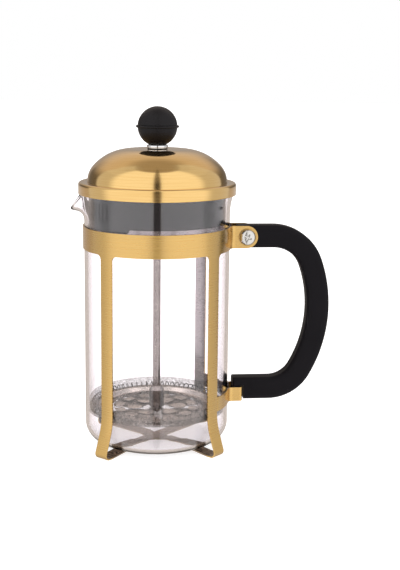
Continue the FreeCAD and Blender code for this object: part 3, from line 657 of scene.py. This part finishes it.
def strap(angle, dip):
    """A strap from leg to opposite leg under the glass. Half of it is a line (r, z) with a half width
    that widens to the band in a quarter circle; dip lowers its middle, where the straps cross."""
    fillet = np.linspace(0, math.pi / 2, 7)[:-1]
    down = corner * (1 - np.cos(fillet))[:, None] * [0, -1] + [band_radius, collar_low]
    width = leg_half + corner - corner * np.sin(fillet)
    foot = band_radius + SHEET / 2 + KICK_OUT
    heel = foot - FOOT_BEND * math.tan((math.pi / 2 + math.atan2(KICK_OUT, KICK_Z)) / 2) - 2.3
    lift = base_z - SHEET - 0.05
    outer = rounded([(band_radius + SHEET / 2, collar_low - corner), (band_radius + SHEET / 2, KICK_Z),
                     (foot, 0), (heel, 0), (heel - 11, lift), (0, lift)], [45, FOOT_BEND, 8, 8], 10, 0.4)
    outer = np.concatenate([resampled(outer[:2], 14)[:-1], outer[1:-1], resampled(outer[-2:], 12)])
    run = outer - line_normals(outer) * SHEET / 2
    run[0] = (band_radius, collar_low - corner)
    lines = np.concatenate([down, run])
    widths = np.concatenate([width, np.full(len(run), leg_half)])[:, None]
    across = flare * widths
    curl = np.clip((lines[:, 1:] - 5) / 14, 0, 1)       # the leg keeps the band's curve until the foot
    out = lines[:, :1] - curl * band_radius * (1 - np.cos(across / band_radius))
    sideways = across + curl * (band_radius * np.sin(across / band_radius) - across)
    up = np.repeat(lines[:, 1:], len(flare), 1)
    near = np.clip((9 - np.abs(out)) / 4, 0, 1)
    up = up - dip * near ** 2 * (3 - 2 * near)
    out = np.concatenate([out, -out[-2::-1]])
    sideways = np.concatenate([sideways, sideways[-2::-1]])
    up = np.concatenate([up, up[-2::-1]])
    c, s = math.cos(math.radians(angle)), math.sin(math.radians(angle))
    return np.stack([out * c - sideways * s, out * s + sideways * c, up], -1)


frame_mesh = sheet_from("frame_sheet", [
    (half_band, False, False), (half_band * mirror, False, False), (ear, False, True),
    (ear * mirror, False, True), (strap(45, 0), False, False), (strap(-45, 0.78), False, False)], SHEET)
piece("frame_band_and_legs", frame_mesh, "root", ["frame"], frame_gold)

# %% [markdown]
# The handle's lower end hangs on a loop of the same sheet between the two near legs. It is the
# band's outline again, lower down, closed across its end with two tight bends.

# %% Lower loop

loop_rows = np.concatenate([[0, 0.2], np.linspace(0.8, 7.8, 9), [8.4, 8.6]]) + bracket_low[2]
end_x = bracket_high[0] - SHEET / 2
start_turn = 45 - math.degrees(math.asin((leg_half + 0.05) / (band_radius - SHEET / 2)))
half_loop = band_line(start_turn, end_x - 1.2, legs=False)
corner_bend = arc_points((end_x - 1.1, cheek - 1.1), 1.1, 90, 0, 7)
half_loop = np.concatenate([half_loop, corner_bend, [[end_x, 0]]])
plan = np.concatenate([half_loop, (half_loop * [1, -1])[-2::-1]])
loop_grid = np.concatenate([np.repeat(plan[None], len(loop_rows), 0),
                            np.repeat(loop_rows[:, None, None], len(plan), 1)], 2)
piece("handle_loop", sheet_from("handle_loop", [(loop_grid, False, False)], SHEET),
      "root", ["handle_bracket"], frame_gold)

# %% [markdown]
# ## The handle
#
# One moulded bar: level arms at top and bottom, two bends and a long slightly curved grip. A
# rounded rectangle is carried along that line. Near each end it shrinks, which rounds the
# ends and closes them. A slot for the loop and a hole for the screw are cut afterwards.

# %% Handle

BAR = 13.7
handle_half = handle_high[1]
arm_z = clamp_z
low_arm_z = 33.05
back_radius, top_bend, low_bend = 79.35, 24.65, 21.75
back = np.array([handle_high[0] - BAR / 2 - back_radius, (arm_z + low_arm_z) / 2 + 3.3])
top_z, low_z = arm_z - top_bend, low_arm_z + low_bend
top_x = back[0] + math.sqrt((back_radius - top_bend) ** 2 - (top_z - back[1]) ** 2)
low_x = back[0] + math.sqrt((back_radius - low_bend) ** 2 - (low_z - back[1]) ** 2)
rise = math.degrees(math.atan2(top_z - back[1], top_x - back[0]))
fall = math.degrees(math.atan2(low_z - back[1], low_x - back[0]))
top_end, low_end = wall_radius + 4.6, handle_low[0]
centre_line = np.concatenate([
    resampled(np.array([(top_end, arm_z), (top_x, arm_z)]), 14)[:-1],
    arc_points((top_x, top_z), top_bend, 90, rise, 26)[:-1],
    arc_points(back, back_radius, rise, fall, 40)[:-1],
    arc_points((low_x, low_z), low_bend, fall, -90, 26),
    resampled(np.array([(low_x, low_arm_z), (low_end, low_arm_z)]), 14)[1:]])


def swept(line, half_wide, half_deep, radius, end_round):
    """Grid of a rounded rectangle carried along a line in the XZ plane: the section's two
    directions are the line's normal and Y. At the ends the section draws in by
    end_round * (1 - sin t) over a length end_round * (1 - cos t), then to its centre."""
    section = loop([(half_wide, half_deep), (-half_wide, half_deep), (-half_wide, -half_deep),
                    (half_wide, -half_deep)], [radius] * 4, 7)
    inward = -line_normals(np.concatenate([section[-1:], section, section[:1]]))[1:-1]
    inward *= -np.sign((inward * section).sum(1).mean())
    t = np.linspace(0, math.pi / 2, 5)
    draw = end_round * (1 - np.sin(t))
    along = end_round * (1 - np.cos(t))
    normal = line_normals(line)
    ahead = np.stack([normal[:, 1], -normal[:, 0]], 1)
    starts = line[0] + ahead[0] * along[:, None]
    ends = (line[-1] - ahead[-1] * along[:, None])[::-1]
    spine = np.concatenate([line[:1], starts, line[2:-2], ends, line[-1:]])
    normals = np.concatenate([normal[:1], np.repeat(normal[:1], 5, 0), normal[2:-2],
                              np.repeat(normal[-1:], 5, 0), normal[-1:]])
    draws = np.concatenate([[0], draw, np.zeros(len(line) - 4), draw[::-1], [0]])[:, None, None]
    shape = section + inward * draws
    shape[0] = 0
    shape[-1] = 0
    plane = spine[:, None] + normals[:, None] * shape[..., :1]
    return np.stack([plane[..., 0], shape[..., 1], plane[..., 1]], -1), False, True


def box_grid(low, high):
    """A box as a grid: four corners round, closed to a point at the middle of both ends."""
    low, high = np.array(low, float), np.array(high, float)
    plan = np.array([[low[0], low[1]], [high[0], low[1]], [high[0], high[1]], [low[0], high[1]]])
    middle = np.repeat((low[:2] + high[:2])[None] / 2, 4, 0)
    levels = [(middle, low[2]), (plan, low[2]), (plan, high[2]), (middle, high[2])]
    return np.stack([np.column_stack([p, np.full(4, z)]) for p, z in levels]), False, True


def on_screw_axis(grid, y):
    """Lay a grid made about Z on the clamp screw's axis, its Z towards -Y."""
    return np.stack([screw_x + grid[..., 0], y - grid[..., 2], clamp_z + grid[..., 1]], -1)


slot_x = bracket_high[0] - SHEET / 2 + 0.25
handle_mesh = surface("handle", [swept(centre_line, BAR / 2, handle_half, 3.2, 0.6)])
slot_tool = surface("slot", [box_grid((slot_x - 1.2, -9, 20), (slot_x + 1.2, 9, bracket_high[2] + 0.9))])
rod_hole = np.array([(0, -9), (2.2, -9), (2.2, 9), (0, 9)], float)
hole_grid = turned(rod_hole, 32, closed=False)
hole_tool = surface("hole", [(on_screw_axis(hole_grid[0], 0), False, True)])
handle_mesh = cut(cut(handle_mesh, slot_tool), hole_tool)
piece("handle_grip", handle_mesh, "root", ["handle"], handle_plastic)

# %% [markdown]
# ## The clamp screw
#
# A cross-recessed screw with a dished washer holds handle and ears together, with a hexagon
# nut at the back. The screw's head is a height above each point of a disc, with the cross
# pressed into it. The nut is the lesser of a hexagon's radius and a cone's, which is exactly how
# a real nut is made: hexagon bar, chamfered on a lathe.

# %% Screw, washer and nut

head_z = 0.65
head_radius = (screw_high[0] - screw_low[0]) / 2
radius = np.concatenate([np.linspace(0, head_radius * 0.72, 60),
                         head_radius * np.sin(np.linspace(0.82, math.pi / 2, 12))])
SCREW_SIDES = 192
ARM = 2.2                                                   # centre of the cross to an arm's end
angle = np.linspace(0, 2 * math.pi, SCREW_SIDES, endpoint=False)
x = radius[:, None] * np.cos(angle)
y = radius[:, None] * np.sin(angle)
dome = head_z + 0.5 + 1.9 * np.sqrt(np.clip(1 - (radius / head_radius) ** 2.6, 0, 1))[:, None]
u, v = 0.924 * x - 0.383 * y, 0.383 * x + 0.924 * y         # the driver left it a little turned
arms = np.maximum(np.minimum(ARM - np.abs(u), 0.45 + 0.1 * (ARM - np.abs(u)) - np.abs(v)),
                  np.minimum(ARM - np.abs(v), 0.45 + 0.1 * (ARM - np.abs(v)) - np.abs(u)))
press = np.clip(arms / 0.22, 0, 1) * (1.7 - 0.3 * radius[:, None])
head = np.stack([x, y, dome - press], -1)
reach = screw_high[1] + 7.1
shank = np.array([(head_radius, head_z + 0.2), (head_radius - 0.2, head_z), (2.0, head_z),
                  (2.0, -reach + 0.5), (1.5, -reach), (0, -reach)])
screw_grid = np.concatenate([head, turned(shank, SCREW_SIDES)[0]])
piece("clamp_screw", surface("clamp_screw", [(on_screw_axis(screw_grid, -7.1), False, True)]),
      "root", ["handle_screw"], nickel)

washer_line = rounded([(2.25, 0.31), (4.74, 0.31), (4.9, 0.46)], [0.3], 5, 0.02)
washer_grid = turned(sheet_section(washer_line, 0.58), 96)
piece("clamp_washer", surface("clamp_washer", [(on_screw_axis(washer_grid[0], -7.1), True, True)]),
      "root", ["screw_washer"], frame_gold)


def hexagon_nut(flats, bore, low, high):
    """Radius at angle a is the lesser of flats / 2 / cos(a from the nearest flat) and a cone
    that leaves the flats at each face; the bore is countersunk a little."""
    angle = np.linspace(0, 2 * math.pi, 96, endpoint=False)
    from_flat = (angle + math.pi / 6) % (math.pi / 3) - math.pi / 6
    hexagon = flats / 2 / np.cos(from_flat)
    depth = np.array([0, 0.04, 0.12, 0.2, 0.3, 0.42, 0.6])
    z = np.concatenate([low + depth, (high - depth)[::-1]])
    cone = flats / 2 * 0.97 + np.minimum(z - low, high - z) * 2.0
    outside = np.minimum(hexagon[None], cone[:, None])
    z = np.repeat(z[:, None], 96, 1)
    inside = np.array([(bore + 0.35, high), (bore, high - 0.35), (bore, low + 0.35), (bore + 0.35, low)])
    r = np.concatenate([outside, np.repeat(inside[:, :1], 96, 1)])
    z = np.concatenate([z, np.repeat(inside[:, 1:], 96, 1)])
    return np.stack([r * np.cos(angle), r * np.sin(angle), z], -1)


nut_low, nut_high = extent("handle_nut")
nut_grid = hexagon_nut(7.0, 2.02, -(nut_high[1] - nut_low[1]), 0)
piece("clamp_nut", surface("clamp_nut", [(on_screw_axis(nut_grid, nut_low[1]), True, True)]),
      "root", ["handle_nut"], nickel)

# %% [markdown]
# ## The lid
#
# The lid is pressed from sheet in one piece: a crown that curves into a steep shoulder, a small
# groove where the dome meets the ledge, and a short skirt. The line is the middle of the
# sheet. It is given its thickness in section and then turned.

# %% Lid

ledge_z = 159.3
dome_top = lid_high[2]
outside = lid_high[0]
t = LID_SHEET / 2
shoulder_r = outside - 6.1
shoulder_z = ledge_z + 6.6
crown_r = shoulder_r - (dome_top - shoulder_z)      # the slope between crown and shoulder is 45 degrees
lid_line = rounded([(5.2, dome_top - t), (crown_r, dome_top - t), (shoulder_r - t, shoulder_z),
                    (outside - 5.45, ledge_z - 0.75), (outside - 4.1, ledge_z - t),
                    (outside - t, ledge_z - t), (outside - t, lid_low[2] + t)], [29.0, 13.4, 0.45, 0.6, 1.2], 12, 0.3)
lid_line = np.concatenate([resampled(lid_line[:2], 5)[:-1], lid_line[1:]])
piece("lid_dome_sheet", surface("lid_dome_sheet", [turned(sheet_section(lid_line, LID_SHEET), 288)]),
      "lid", ["lid_dome"], lid_gold)

# %% [markdown]
# Under the lid sits a moulded cup, mouth down. Its skirt keeps coffee in and strains what is
# poured through a row of slots on the spout side, where it also hangs a little deeper. The
# deeper part is one smooth step in the height of its lower edge.

# %% Splash guard

guard_bottom = guard_low[2] + 2.3
guard_r = wall_radius - GLASS - 0.6
bush_low, bush_high = extent("guide_bush")
bore = bush_high[0] + 0.05
guard_line = loop([(bore, guard_high[2]), (5.0, guard_high[2]), (5.0, dome_top - 0.65),
                   (7.0, dome_top - 0.65), (7.0, ledge_z - 1.3), (lip_radius - 0.6, ledge_z - 1.3),
                   (lip_radius - 0.6, rim_z + 0.3),
                   (guard_r, rim_z + 0.3), (guard_r, guard_bottom + 2.2), (guard_r, guard_bottom),
                   (guard_r - 1.6, guard_bottom), (guard_r - 1.6, guard_bottom + 2.2),
                   (guard_r - 1.6, rim_z + 0.3), (bore, rim_z + 0.3)],
                  [0.2, 0.3, 0, 0.3, 0.5, 0.4, 0.4, 0, 0, 0.5, 0.5, 0, 0.5, 0.2], 4, 0.0)
guard_grid = turned(guard_line, 288)[0]
around = np.degrees(np.arctan2(guard_grid[..., 1], -guard_grid[..., 0]))
step = np.clip((64.5 - np.abs(around)) / 3, 0, 1)
weight = np.clip((guard_bottom + 2.2 - guard_grid[..., 2]) / 2.2, 0, 1)
guard_grid[..., 2] -= 2.3 * step ** 2 * (3 - 2 * step) * weight
slots = []
for number in range(20):
    tool, _, _ = box_grid((guard_r - 3.2, -0.7, rim_z + 0.3 - 19), (guard_r + 1, 0.7, rim_z + 0.3 - 8))
    a = math.radians(180 + 4.5 * (number - 9.5))
    spun = np.stack([tool[..., 0] * math.cos(a) - tool[..., 1] * math.sin(a),
                     tool[..., 0] * math.sin(a) + tool[..., 1] * math.cos(a), tool[..., 2]], -1)
    slots.append((spun, False, True))
guard_mesh = cut(surface("guard", [(guard_grid, True, True)]), surface("slots", slots))
piece("splash_guard_cup", guard_mesh, "lid", ["splash_guard"], guard_plastic)

# %% [markdown]
# The small turned pieces of the lid are closed outlines turned round the axis: a fibre washer,
# a stepped ring nut, and the nylon sleeve that the rod runs in.

# %% Lid nut, washer and sleeve


def ring_piece(name, body, node, material, points, radii, segments=128):
    """A closed outline (r, z) with rounded corners, turned."""
    outline = loop(points, radii, 5, 0.04)
    return piece(name, surface(name, [turned(outline, segments)]), body, [node], material)


wash_low, wash_high = extent("lid_washer")
ring_piece("lid_fibre_washer", "lid_nut", "lid_washer", fibre,
           [(5.05, wash_low[2]), (wash_high[0], wash_low[2]),
            (wash_high[0], wash_high[2]), (5.05, wash_high[2])], [0.1] * 4)
nut_low, nut_high = extent("lid_nut")
step_z = nut_low[2] + 0.7
ring_piece("lid_ring_nut", "lid_nut", "lid_nut", chrome,
           [(5.05, nut_low[2]), (nut_high[0] - 0.3, nut_low[2]), (nut_high[0] - 0.3, step_z),
            (nut_high[0], step_z), (nut_high[0], nut_high[2]), (5.05, nut_high[2])],
           [0.1, 0.15, 0.1, 0.15, 0.6, 0.2])
ring_piece("rod_sleeve", "guide_bush", "guide_bush", nylon,
           [(2.25, bush_low[2]), (bush_high[0], bush_low[2]),
            (bush_high[0], bush_high[2]), (2.25, bush_high[2])], [0.3, 0.3, 0.3, 0.5], 64)

# %% [markdown]
# ## The plunger
#
# A drawn steel rod joins the knob to the filter. The knob is two moulded shells that meet at a
# raised ring, and the lower one holds a threaded brass insert for the rod.

# %% Rod and knob

rod_low, rod_high = extent("plunger_rod")
rod_line = rounded([(0, rod_low[2]), (rod_high[0], rod_low[2]), (rod_high[0], rod_high[2]), (0, rod_high[2])],
                   [0.5, 0.5], 5)
piece("plunger_rod_steel", surface("plunger_rod_steel", [turned(rod_line, 64, closed=False)]),
      "plunger", ["plunger_rod"], rod_steel)

top_low, top_high = extent("knob_upper")
knob_r = (top_high[1] - top_low[1]) / 2 + 0.021
knob_z = top_high[2] - knob_r
seam = top_low[2]
ring_low, ring_high = extent("knob_lower")
ring_r = ring_high[1]


def ball(radius, low_z, high_z, count):
    """Points (r, z) on a sphere of the knob between two heights, top first."""
    a = np.linspace(math.asin(np.clip((high_z - knob_z) / radius, -1, 1)),
                    math.asin(np.clip((low_z - knob_z) / radius, -1, 1)), count)
    return np.stack([radius * np.cos(a), knob_z + radius * np.sin(a)], 1)


cap_line = np.concatenate([ball(knob_r, seam + 0.15, knob_z + knob_r, 40), [[knob_r - 0.15, seam]],
                           ball(knob_r - 2, seam, knob_z + knob_r - 2, 24)[::-1]])
piece("knob_cap", surface("knob_cap", [turned(cap_line, 128, closed=False)]),
      "plunger", ["knob_upper"], knob_plastic)
foot_z = ring_low[2]
ring_edge = rounded([(knob_r - 0.05, ring_high[2] - 1.35), (ring_r, ring_high[2] - 1.35),
                     (ring_r, ring_high[2]), (knob_r - 2, ring_high[2])], [0.6, 0.6], 6, 0.03)
cup_line = np.concatenate([
    ball(knob_r, foot_z + 0.1, ring_high[2] - 1.35, 36)[::-1][:-1], ring_edge,
    ball(knob_r - 2, foot_z + 2.4, ring_high[2], 20)[1:],
    [(5.4, foot_z + 2.4), (5.4, foot_z + 10.2), (3.45, foot_z + 10.2), (3.45, foot_z + 1.15),
     (2.4, foot_z + 1.15), (2.4, foot_z), (5.3, foot_z)]])
piece("knob_cup", surface("knob_cup", [turned(cup_line, 128)]),
      "plunger", ["knob_lower"], knob_plastic)
insert_low, insert_high = extent("knob_insert")
ring_piece("knob_brass_insert", "plunger", "knob_insert", brass,
           [(2.22, insert_low[2]), (3.4, insert_low[2]), (3.4, insert_high[2]), (2.22, insert_high[2])],
           [0.2] * 4, 48)

# %% [markdown]
# ## The filter pack
#
# From the top: a turned hub, a pressed plate whose edge carries a coiled spring, the woven
# cloth turned up into a collar that wipes the glass, a stiff plate below and a nut. Flat plates
# with openings are made as a flat curve with holes, which Blender fills and thickens.

# %% Hub and nut

ring_piece("filter_hub_turned", "plunger", "filter_hub", hub_steel,
           [(2.22, hub_low[2]), (hub_high[0], hub_low[2]), (hub_high[0], hub_high[2] - 2.4),
            (2.8, hub_high[2]), (2.22, hub_high[2])], [0.1, 0.2, 0.3, 0.2, 0.05], 96)
fnut_low, fnut_high = extent("filter_nut")
piece("filter_clamp_nut",
      surface("filter_clamp_nut", [(hexagon_nut(9.0, 2.22, fnut_low[2], fnut_high[2]), True, True)]),
      "plunger", ["filter_nut"], nickel)

# %% Plates with openings


def ring_line(radius, count=128):
    return arc_points((0, 0), radius, 0, 360, count + 1)[:-1]


def kidneys(inner, outer, half_turn, count, first=0.0, corner=1.5):
    """Openings between two circles: inner and outer arcs joined by rounded ends."""
    out = arc_points((0, 0), outer, -half_turn, half_turn, 9)
    back = arc_points((0, 0), inner, half_turn, -half_turn, 9)
    points = np.concatenate([out, back])
    one = loop(points, [corner if k in (0, 8, 9, 17) else 0 for k in range(18)], 4, 0.0)
    turns = np.radians(first + 360 / count * np.arange(count))
    return [one @ np.array([[math.cos(a), math.sin(a)], [-math.sin(a), math.cos(a)]]) for a in turns]


def plate_mesh(outlines, low, high, edge=0.08):
    """A flat filled curve through all outlines, thickened between two heights."""
    curve = bpy.data.curves.new("plate", "CURVE")
    curve.dimensions = "2D"
    curve.fill_mode = "BOTH"
    curve.extrude = ((high - low) / 2 - edge) * MM
    curve.bevel_depth = edge * MM
    curve.offset = -edge * MM
    curve.bevel_resolution = 1
    for outline in outlines:
        spline = curve.splines.new("POLY")
        spline.points.add(len(outline) - 1)
        flat = np.zeros((len(outline), 4))
        flat[:, :2] = outline * MM
        spline.points.foreach_set("co", flat.ravel())
        spline.use_cyclic_u = True
    carrier = bpy.data.objects.new("plate", curve)
    bpy.context.scene.collection.objects.link(carrier)
    mesh = bpy.data.meshes.new_from_object(carrier.evaluated_get(bpy.context.evaluated_depsgraph_get()))
    bpy.data.objects.remove(carrier)
    points = np.empty(len(mesh.vertices) * 3)
    mesh.vertices.foreach_get("co", points)
    points[2::3] += (low + high) / 2 * MM
    mesh.vertices.foreach_set("co", points)
    return close_up(mesh)


def joined(name, meshes):
    """Several closed meshes as one."""
    work = bmesh.new()
    for mesh in meshes:
        work.from_mesh(mesh)
    result = bpy.data.meshes.new(name)
    work.to_mesh(result)
    work.free()
    return result


COILS = 72
TUBE = (coil_high[2] - coil_low[2]) / 2     # outside radius of the wound wire
WIRE = 0.6
plate_z = plate_low[2]
edge_top = plate_high[2]
coil_ring = coil_high[0] - TUBE
step_r = plate_high[0] - 5.0
small_holes = [ring_line(0.6, 12) + (coil_ring - TUBE + WIRE / 2) * np.array([math.cos(a), math.sin(a)])
               for a in np.radians(360 / COILS * np.arange(COILS))]
disc = plate_mesh([ring_line(step_r - 0.7), ring_line(2.3, 24)] + kidneys(28.0, 30.6, 2.6, 40, 0, 0.8)
                  + kidneys(8.5, 17.5, 17, 6, 0, 3.0) + kidneys(19.8, 25.6, 9.5, 12, 15, 2.2),
                  plate_z, plate_z + 0.5)
step_line = rounded([(step_r - 0.9, plate_z + 0.25), (step_r, plate_z + 0.25),
                     (step_r + 1.5, edge_top - 0.25), (step_r + 2.0, edge_top - 0.25)], [0.6, 0.5], 6, 0.02)
step_ring = surface("step", [turned(sheet_section(step_line, 0.56), 256)])
edge_ring = plate_mesh([ring_line(plate_high[0], 192), ring_line(step_r + 1.8, 192)] + small_holes,
                       edge_top - 0.5, edge_top)
piece("spring_plate", joined("spring_plate", [disc, step_ring, edge_ring]),
      "plunger", ["spiral_plate"], plate_steel)

cross_low, cross_high = extent("cross_plate")
piece("cross_plate_pressed",
      plate_mesh([ring_line(cross_high[0]), ring_line(2.3, 24)] + kidneys(9, 27.5, 34, 4, 45, 4.0)
                 + kidneys(29.2, 31.4, 4, 24, 0, 0.8), cross_low[2], cross_high[2], 0.15),
      "plunger", ["cross_plate"], plate_steel)

# %% [markdown]
# The spring is one wire wound into a long tube and closed into a ring. Its line winds round a
# circle while it goes round the axis, and a small octagon is carried along it.

# %% Coiled spring and cloth


def wound_wire(ring, tube, wire, height, turns, per_turn=22, sides=8):
    """Centre line: radius ring + tube * cos(turns * a), height + tube * sin(turns * a), at angle a."""
    a = np.linspace(0, 2 * math.pi, turns * per_turn, endpoint=False)
    r = ring + tube * np.cos(turns * a)
    line = np.stack([r * np.cos(a), r * np.sin(a), height + tube * np.sin(turns * a)], 1)
    along = np.roll(line, -1, 0) - np.roll(line, 1, 0)
    along /= np.linalg.norm(along, axis=1)[:, None]
    centre = np.stack([ring * np.cos(a), ring * np.sin(a), np.full(len(a), height)], 1)
    side = np.cross(along, line - centre)
    side /= np.linalg.norm(side, axis=1)[:, None]
    up = np.cross(side, along)
    b = np.linspace(0, 2 * math.pi, sides, endpoint=False)[None, :, None]
    return line[:, None] + wire / 2 * (np.cos(b) * side[:, None] + np.sin(b) * up[:, None]), True, True


coil_z = (coil_low[2] + coil_high[2]) / 2
coil_grid = wound_wire(coil_ring, TUBE - WIRE / 2, WIRE, coil_z, COILS)
piece("coiled_spring", surface("coiled_spring", [coil_grid]),
      "plunger", ["spring_coil"], wire_steel)

cloth_r = mesh_high[0] - 0.175
cloth_line = rounded([(2.35, mesh_low[2] + 0.175), (cloth_r, mesh_low[2] + 0.175),
                      (cloth_r, mesh_high[2] - 0.175)], [1.0], 8, 0.2)
cloth_line = np.concatenate([resampled(cloth_line[:2], 8)[:-1], cloth_line[1:-2],
                             resampled(cloth_line[-2:], 5)])
piece("filter_cloth", surface("filter_cloth", [turned(sheet_section(cloth_line, 0.35), 256)]),
      "plunger", ["mesh_filter"], cloth_wire)

# %% [markdown]
# ## Table, light and camera
#
# The table is a wide opal disc lit from below, with one broad overhead light, so it is evenly
# white and keeps almost no shadow. The room itself is the two softboxes: bright to the left and
# right of the front, with a narrow dark gap between, because that gap draws the dark line that
# makes turned metal look turned. Behind them the room is dim, lighter high up and below the
# horizon. The table is left out of mirror reflections, as if it ended just outside the view:
# a ray that has been mirrored once goes through it.

# %% Table and lights

scene = bpy.context.scene
table_angle = np.linspace(0, 2 * math.pi, 96, endpoint=False)
table_radius = np.array([0, 150, 600, 2000, 6000.0])[:, None]
table_grid = np.stack([table_radius * np.cos(table_angle), table_radius * np.sin(table_angle),
                       np.zeros((5, 96))], -1)
table = bpy.data.objects.new("table", surface("table", [(table_grid, False, True)]))
scene.collection.objects.link(table)
pale, tree = start("table_opal_lit_from_below")
speck = add(tree, "TexNoise", {"Vector": add(tree, "TexCoord", {}, "Object"), "Scale": 1 / (60 * MM)})
close(pale, tree, {"Base Color": linear("#c4c3c4"), "IOR": 1.2, "Emission Color": (1, 1, 1, 1),
                   "Emission Strength": 0.78,
                   "Roughness": add(tree, "MapRange", {"Value": speck, "To Min": 0.8, "To Max": 0.9})})
# mirrors see the room below the horizon in place of the table
shader, output = (next(node for node in tree.nodes if node.type == kind)
                  for kind in ("BSDF_PRINCIPLED", "OUTPUT_MATERIAL"))
mirrored = add(tree, "LightPath", {}, "Glossy Depth")
clear = add(tree, "BsdfTransparent", {})
blend = add(tree, "MixShader", {0: mirrored, 1: shader.outputs[0], 2: clear})
tree.links.new(blend, output.inputs["Surface"])
table.data.materials.append(pale)
table.visible_glossy = False

overhead = bpy.data.lights.new("overhead", "SUN")
overhead.energy = 1.5
overhead.angle = math.radians(100)
overhead_lamp = bpy.data.objects.new("overhead", overhead)
overhead_lamp.rotation_euler = (math.radians(12), 0, 0)
overhead_lamp.visible_glossy = False
scene.collection.objects.link(overhead_lamp)

# %% The room: two softboxes with a dark gap

world = bpy.data.worlds.new("studio")
scene.world = world
world.use_nodes = True
tree = world.node_tree
tree.nodes.clear()
parts = add(tree, "SeparateXYZ", {0: add(tree, "TexCoord", {}, "Generated")}, 0).node.outputs
# bearing is 0 straight in front, towards -Y, and grows to both sides
bearing = add(tree, "Math", {0: parts[0], 1: add(tree, "Math", {0: parts[1], 1: -1.0}, operation="MULTIPLY")},
              operation="ARCTAN2")
# the gap stands a little to one side of the front, the softboxes' far edges a little to the other
aside = add(tree, "Math", {0: add(tree, "Math", {0: bearing, 1: 0.064}, operation="ADD")},
            operation="ABSOLUTE")
behind = add(tree, "Math", {0: add(tree, "Math", {0: bearing, 1: -0.023}, operation="ADD")},
             operation="ABSOLUTE")
gap = add(tree, "MapRange", {"Value": aside, "From Min": math.radians(3), "From Max": math.radians(8)},
          interpolation_type="SMOOTHSTEP")
wide = add(tree, "MapRange", {"Value": behind, "From Min": math.radians(127), "From Max": math.radians(119)},
           interpolation_type="SMOOTHSTEP")
fade = add(tree, "MapRange", {"Value": aside, "From Min": math.radians(70), "From Max": math.radians(90),
                              "To Min": 1.5, "To Max": 0.87}, interpolation_type="SMOOTHSTEP")
tall = add(tree, "MapRange", {"Value": parts[2], "From Min": 0.98, "From Max": 0.92},
           interpolation_type="SMOOTHSTEP")
softbox = add(tree, "Math", {0: gap, 1: wide}, operation="MULTIPLY")
softbox = add(tree, "Math", {0: softbox, 1: tall}, operation="MULTIPLY")
lit = add(tree, "Math", {0: softbox, 1: fade}, operation="MULTIPLY")
back = add(tree, "MapRange", {"Value": behind, "From Min": math.radians(152), "From Max": math.radians(164),
                              "To Min": 0.2, "To Max": 0.45}, interpolation_type="SMOOTHSTEP")
walls = add(tree, "MapRange", {"Value": parts[2], "From Min": 0.15, "From Max": 0.65, "To Min": back,
                               "To Max": 0.95}, interpolation_type="SMOOTHSTEP")
dip = add(tree, "MapRange", {"Value": parts[2], "From Min": 0.82, "From Max": 0.97, "To Min": 1.0,
                             "To Max": 0.6}, interpolation_type="SMOOTHSTEP")
walls = add(tree, "Math", {0: walls, 1: dip}, operation="MULTIPLY")
below = add(tree, "MapRange", {"Value": parts[2], "From Min": -0.02, "From Max": -0.12, "To Max": 0.7})
walls = add(tree, "Math", {0: walls, 1: below}, operation="MAXIMUM")
dim = add(tree, "Math", {0: walls, 1: add(tree, "MapRange", {"Value": gap, "To Min": 0.25, "To Max": 1.0})},
          operation="MULTIPLY")
level = add(tree, "Math", {0: lit, 1: dim}, operation="MAXIMUM")
tint = add(tree, "Mix", {0: softbox, 6: linear("#f7ebe0"), 7: (1, 1, 1, 1)}, 2, data_type="RGBA")
seen = add(tree, "LightPath", {}, "Is Camera Ray")
shown_level = add(tree, "Mix", {0: seen, 2: level, 3: 1.0}, 0, data_type="FLOAT")
shown_tint = add(tree, "Mix", {0: seen, 6: tint, 7: (1, 1, 1, 1)}, 2, data_type="RGBA")
add(tree, "OutputWorld", {"Surface": add(tree, "Background", {"Color": shown_tint, "Strength": shown_level})})

# %% [markdown]
# The camera looks slightly down on the press from a little to the left of square, with a long
# lens, so the uprights stay nearly parallel. Its three axes are written out: where it looks,
# then right and up, tilted by a small roll.

# %% Camera

pitch, yaw, roll, stand = 0.1929, 0.0383, 0.0109, math.radians(3.70)
heading = yaw + stand
ahead = np.array([math.sin(heading) * math.cos(pitch), math.cos(heading) * math.cos(pitch), -math.sin(pitch)])
right = np.array([math.cos(heading), -math.sin(heading), 0.0])
up = np.cross(right, ahead)
right_rolled = math.cos(roll) * right + math.sin(roll) * up
up_rolled = math.cos(roll) * up - math.sin(roll) * right
lens = bpy.data.cameras.new("camera")
lens.lens = 72.2
lens.sensor_width = 36.0
lens.clip_end = 50.0
camera = bpy.data.objects.new("camera", lens)
matrix = np.identity(4)
matrix[:3, 0] = right_rolled
matrix[:3, 1] = up_rolled
matrix[:3, 2] = -ahead
matrix[:3, 3] = np.array([-43.5, -673.1, 229.0]) * MM
camera.matrix_world = Matrix(matrix)
scene.collection.objects.link(camera)
scene.camera = camera
scene.view_settings.view_transform = "Standard"
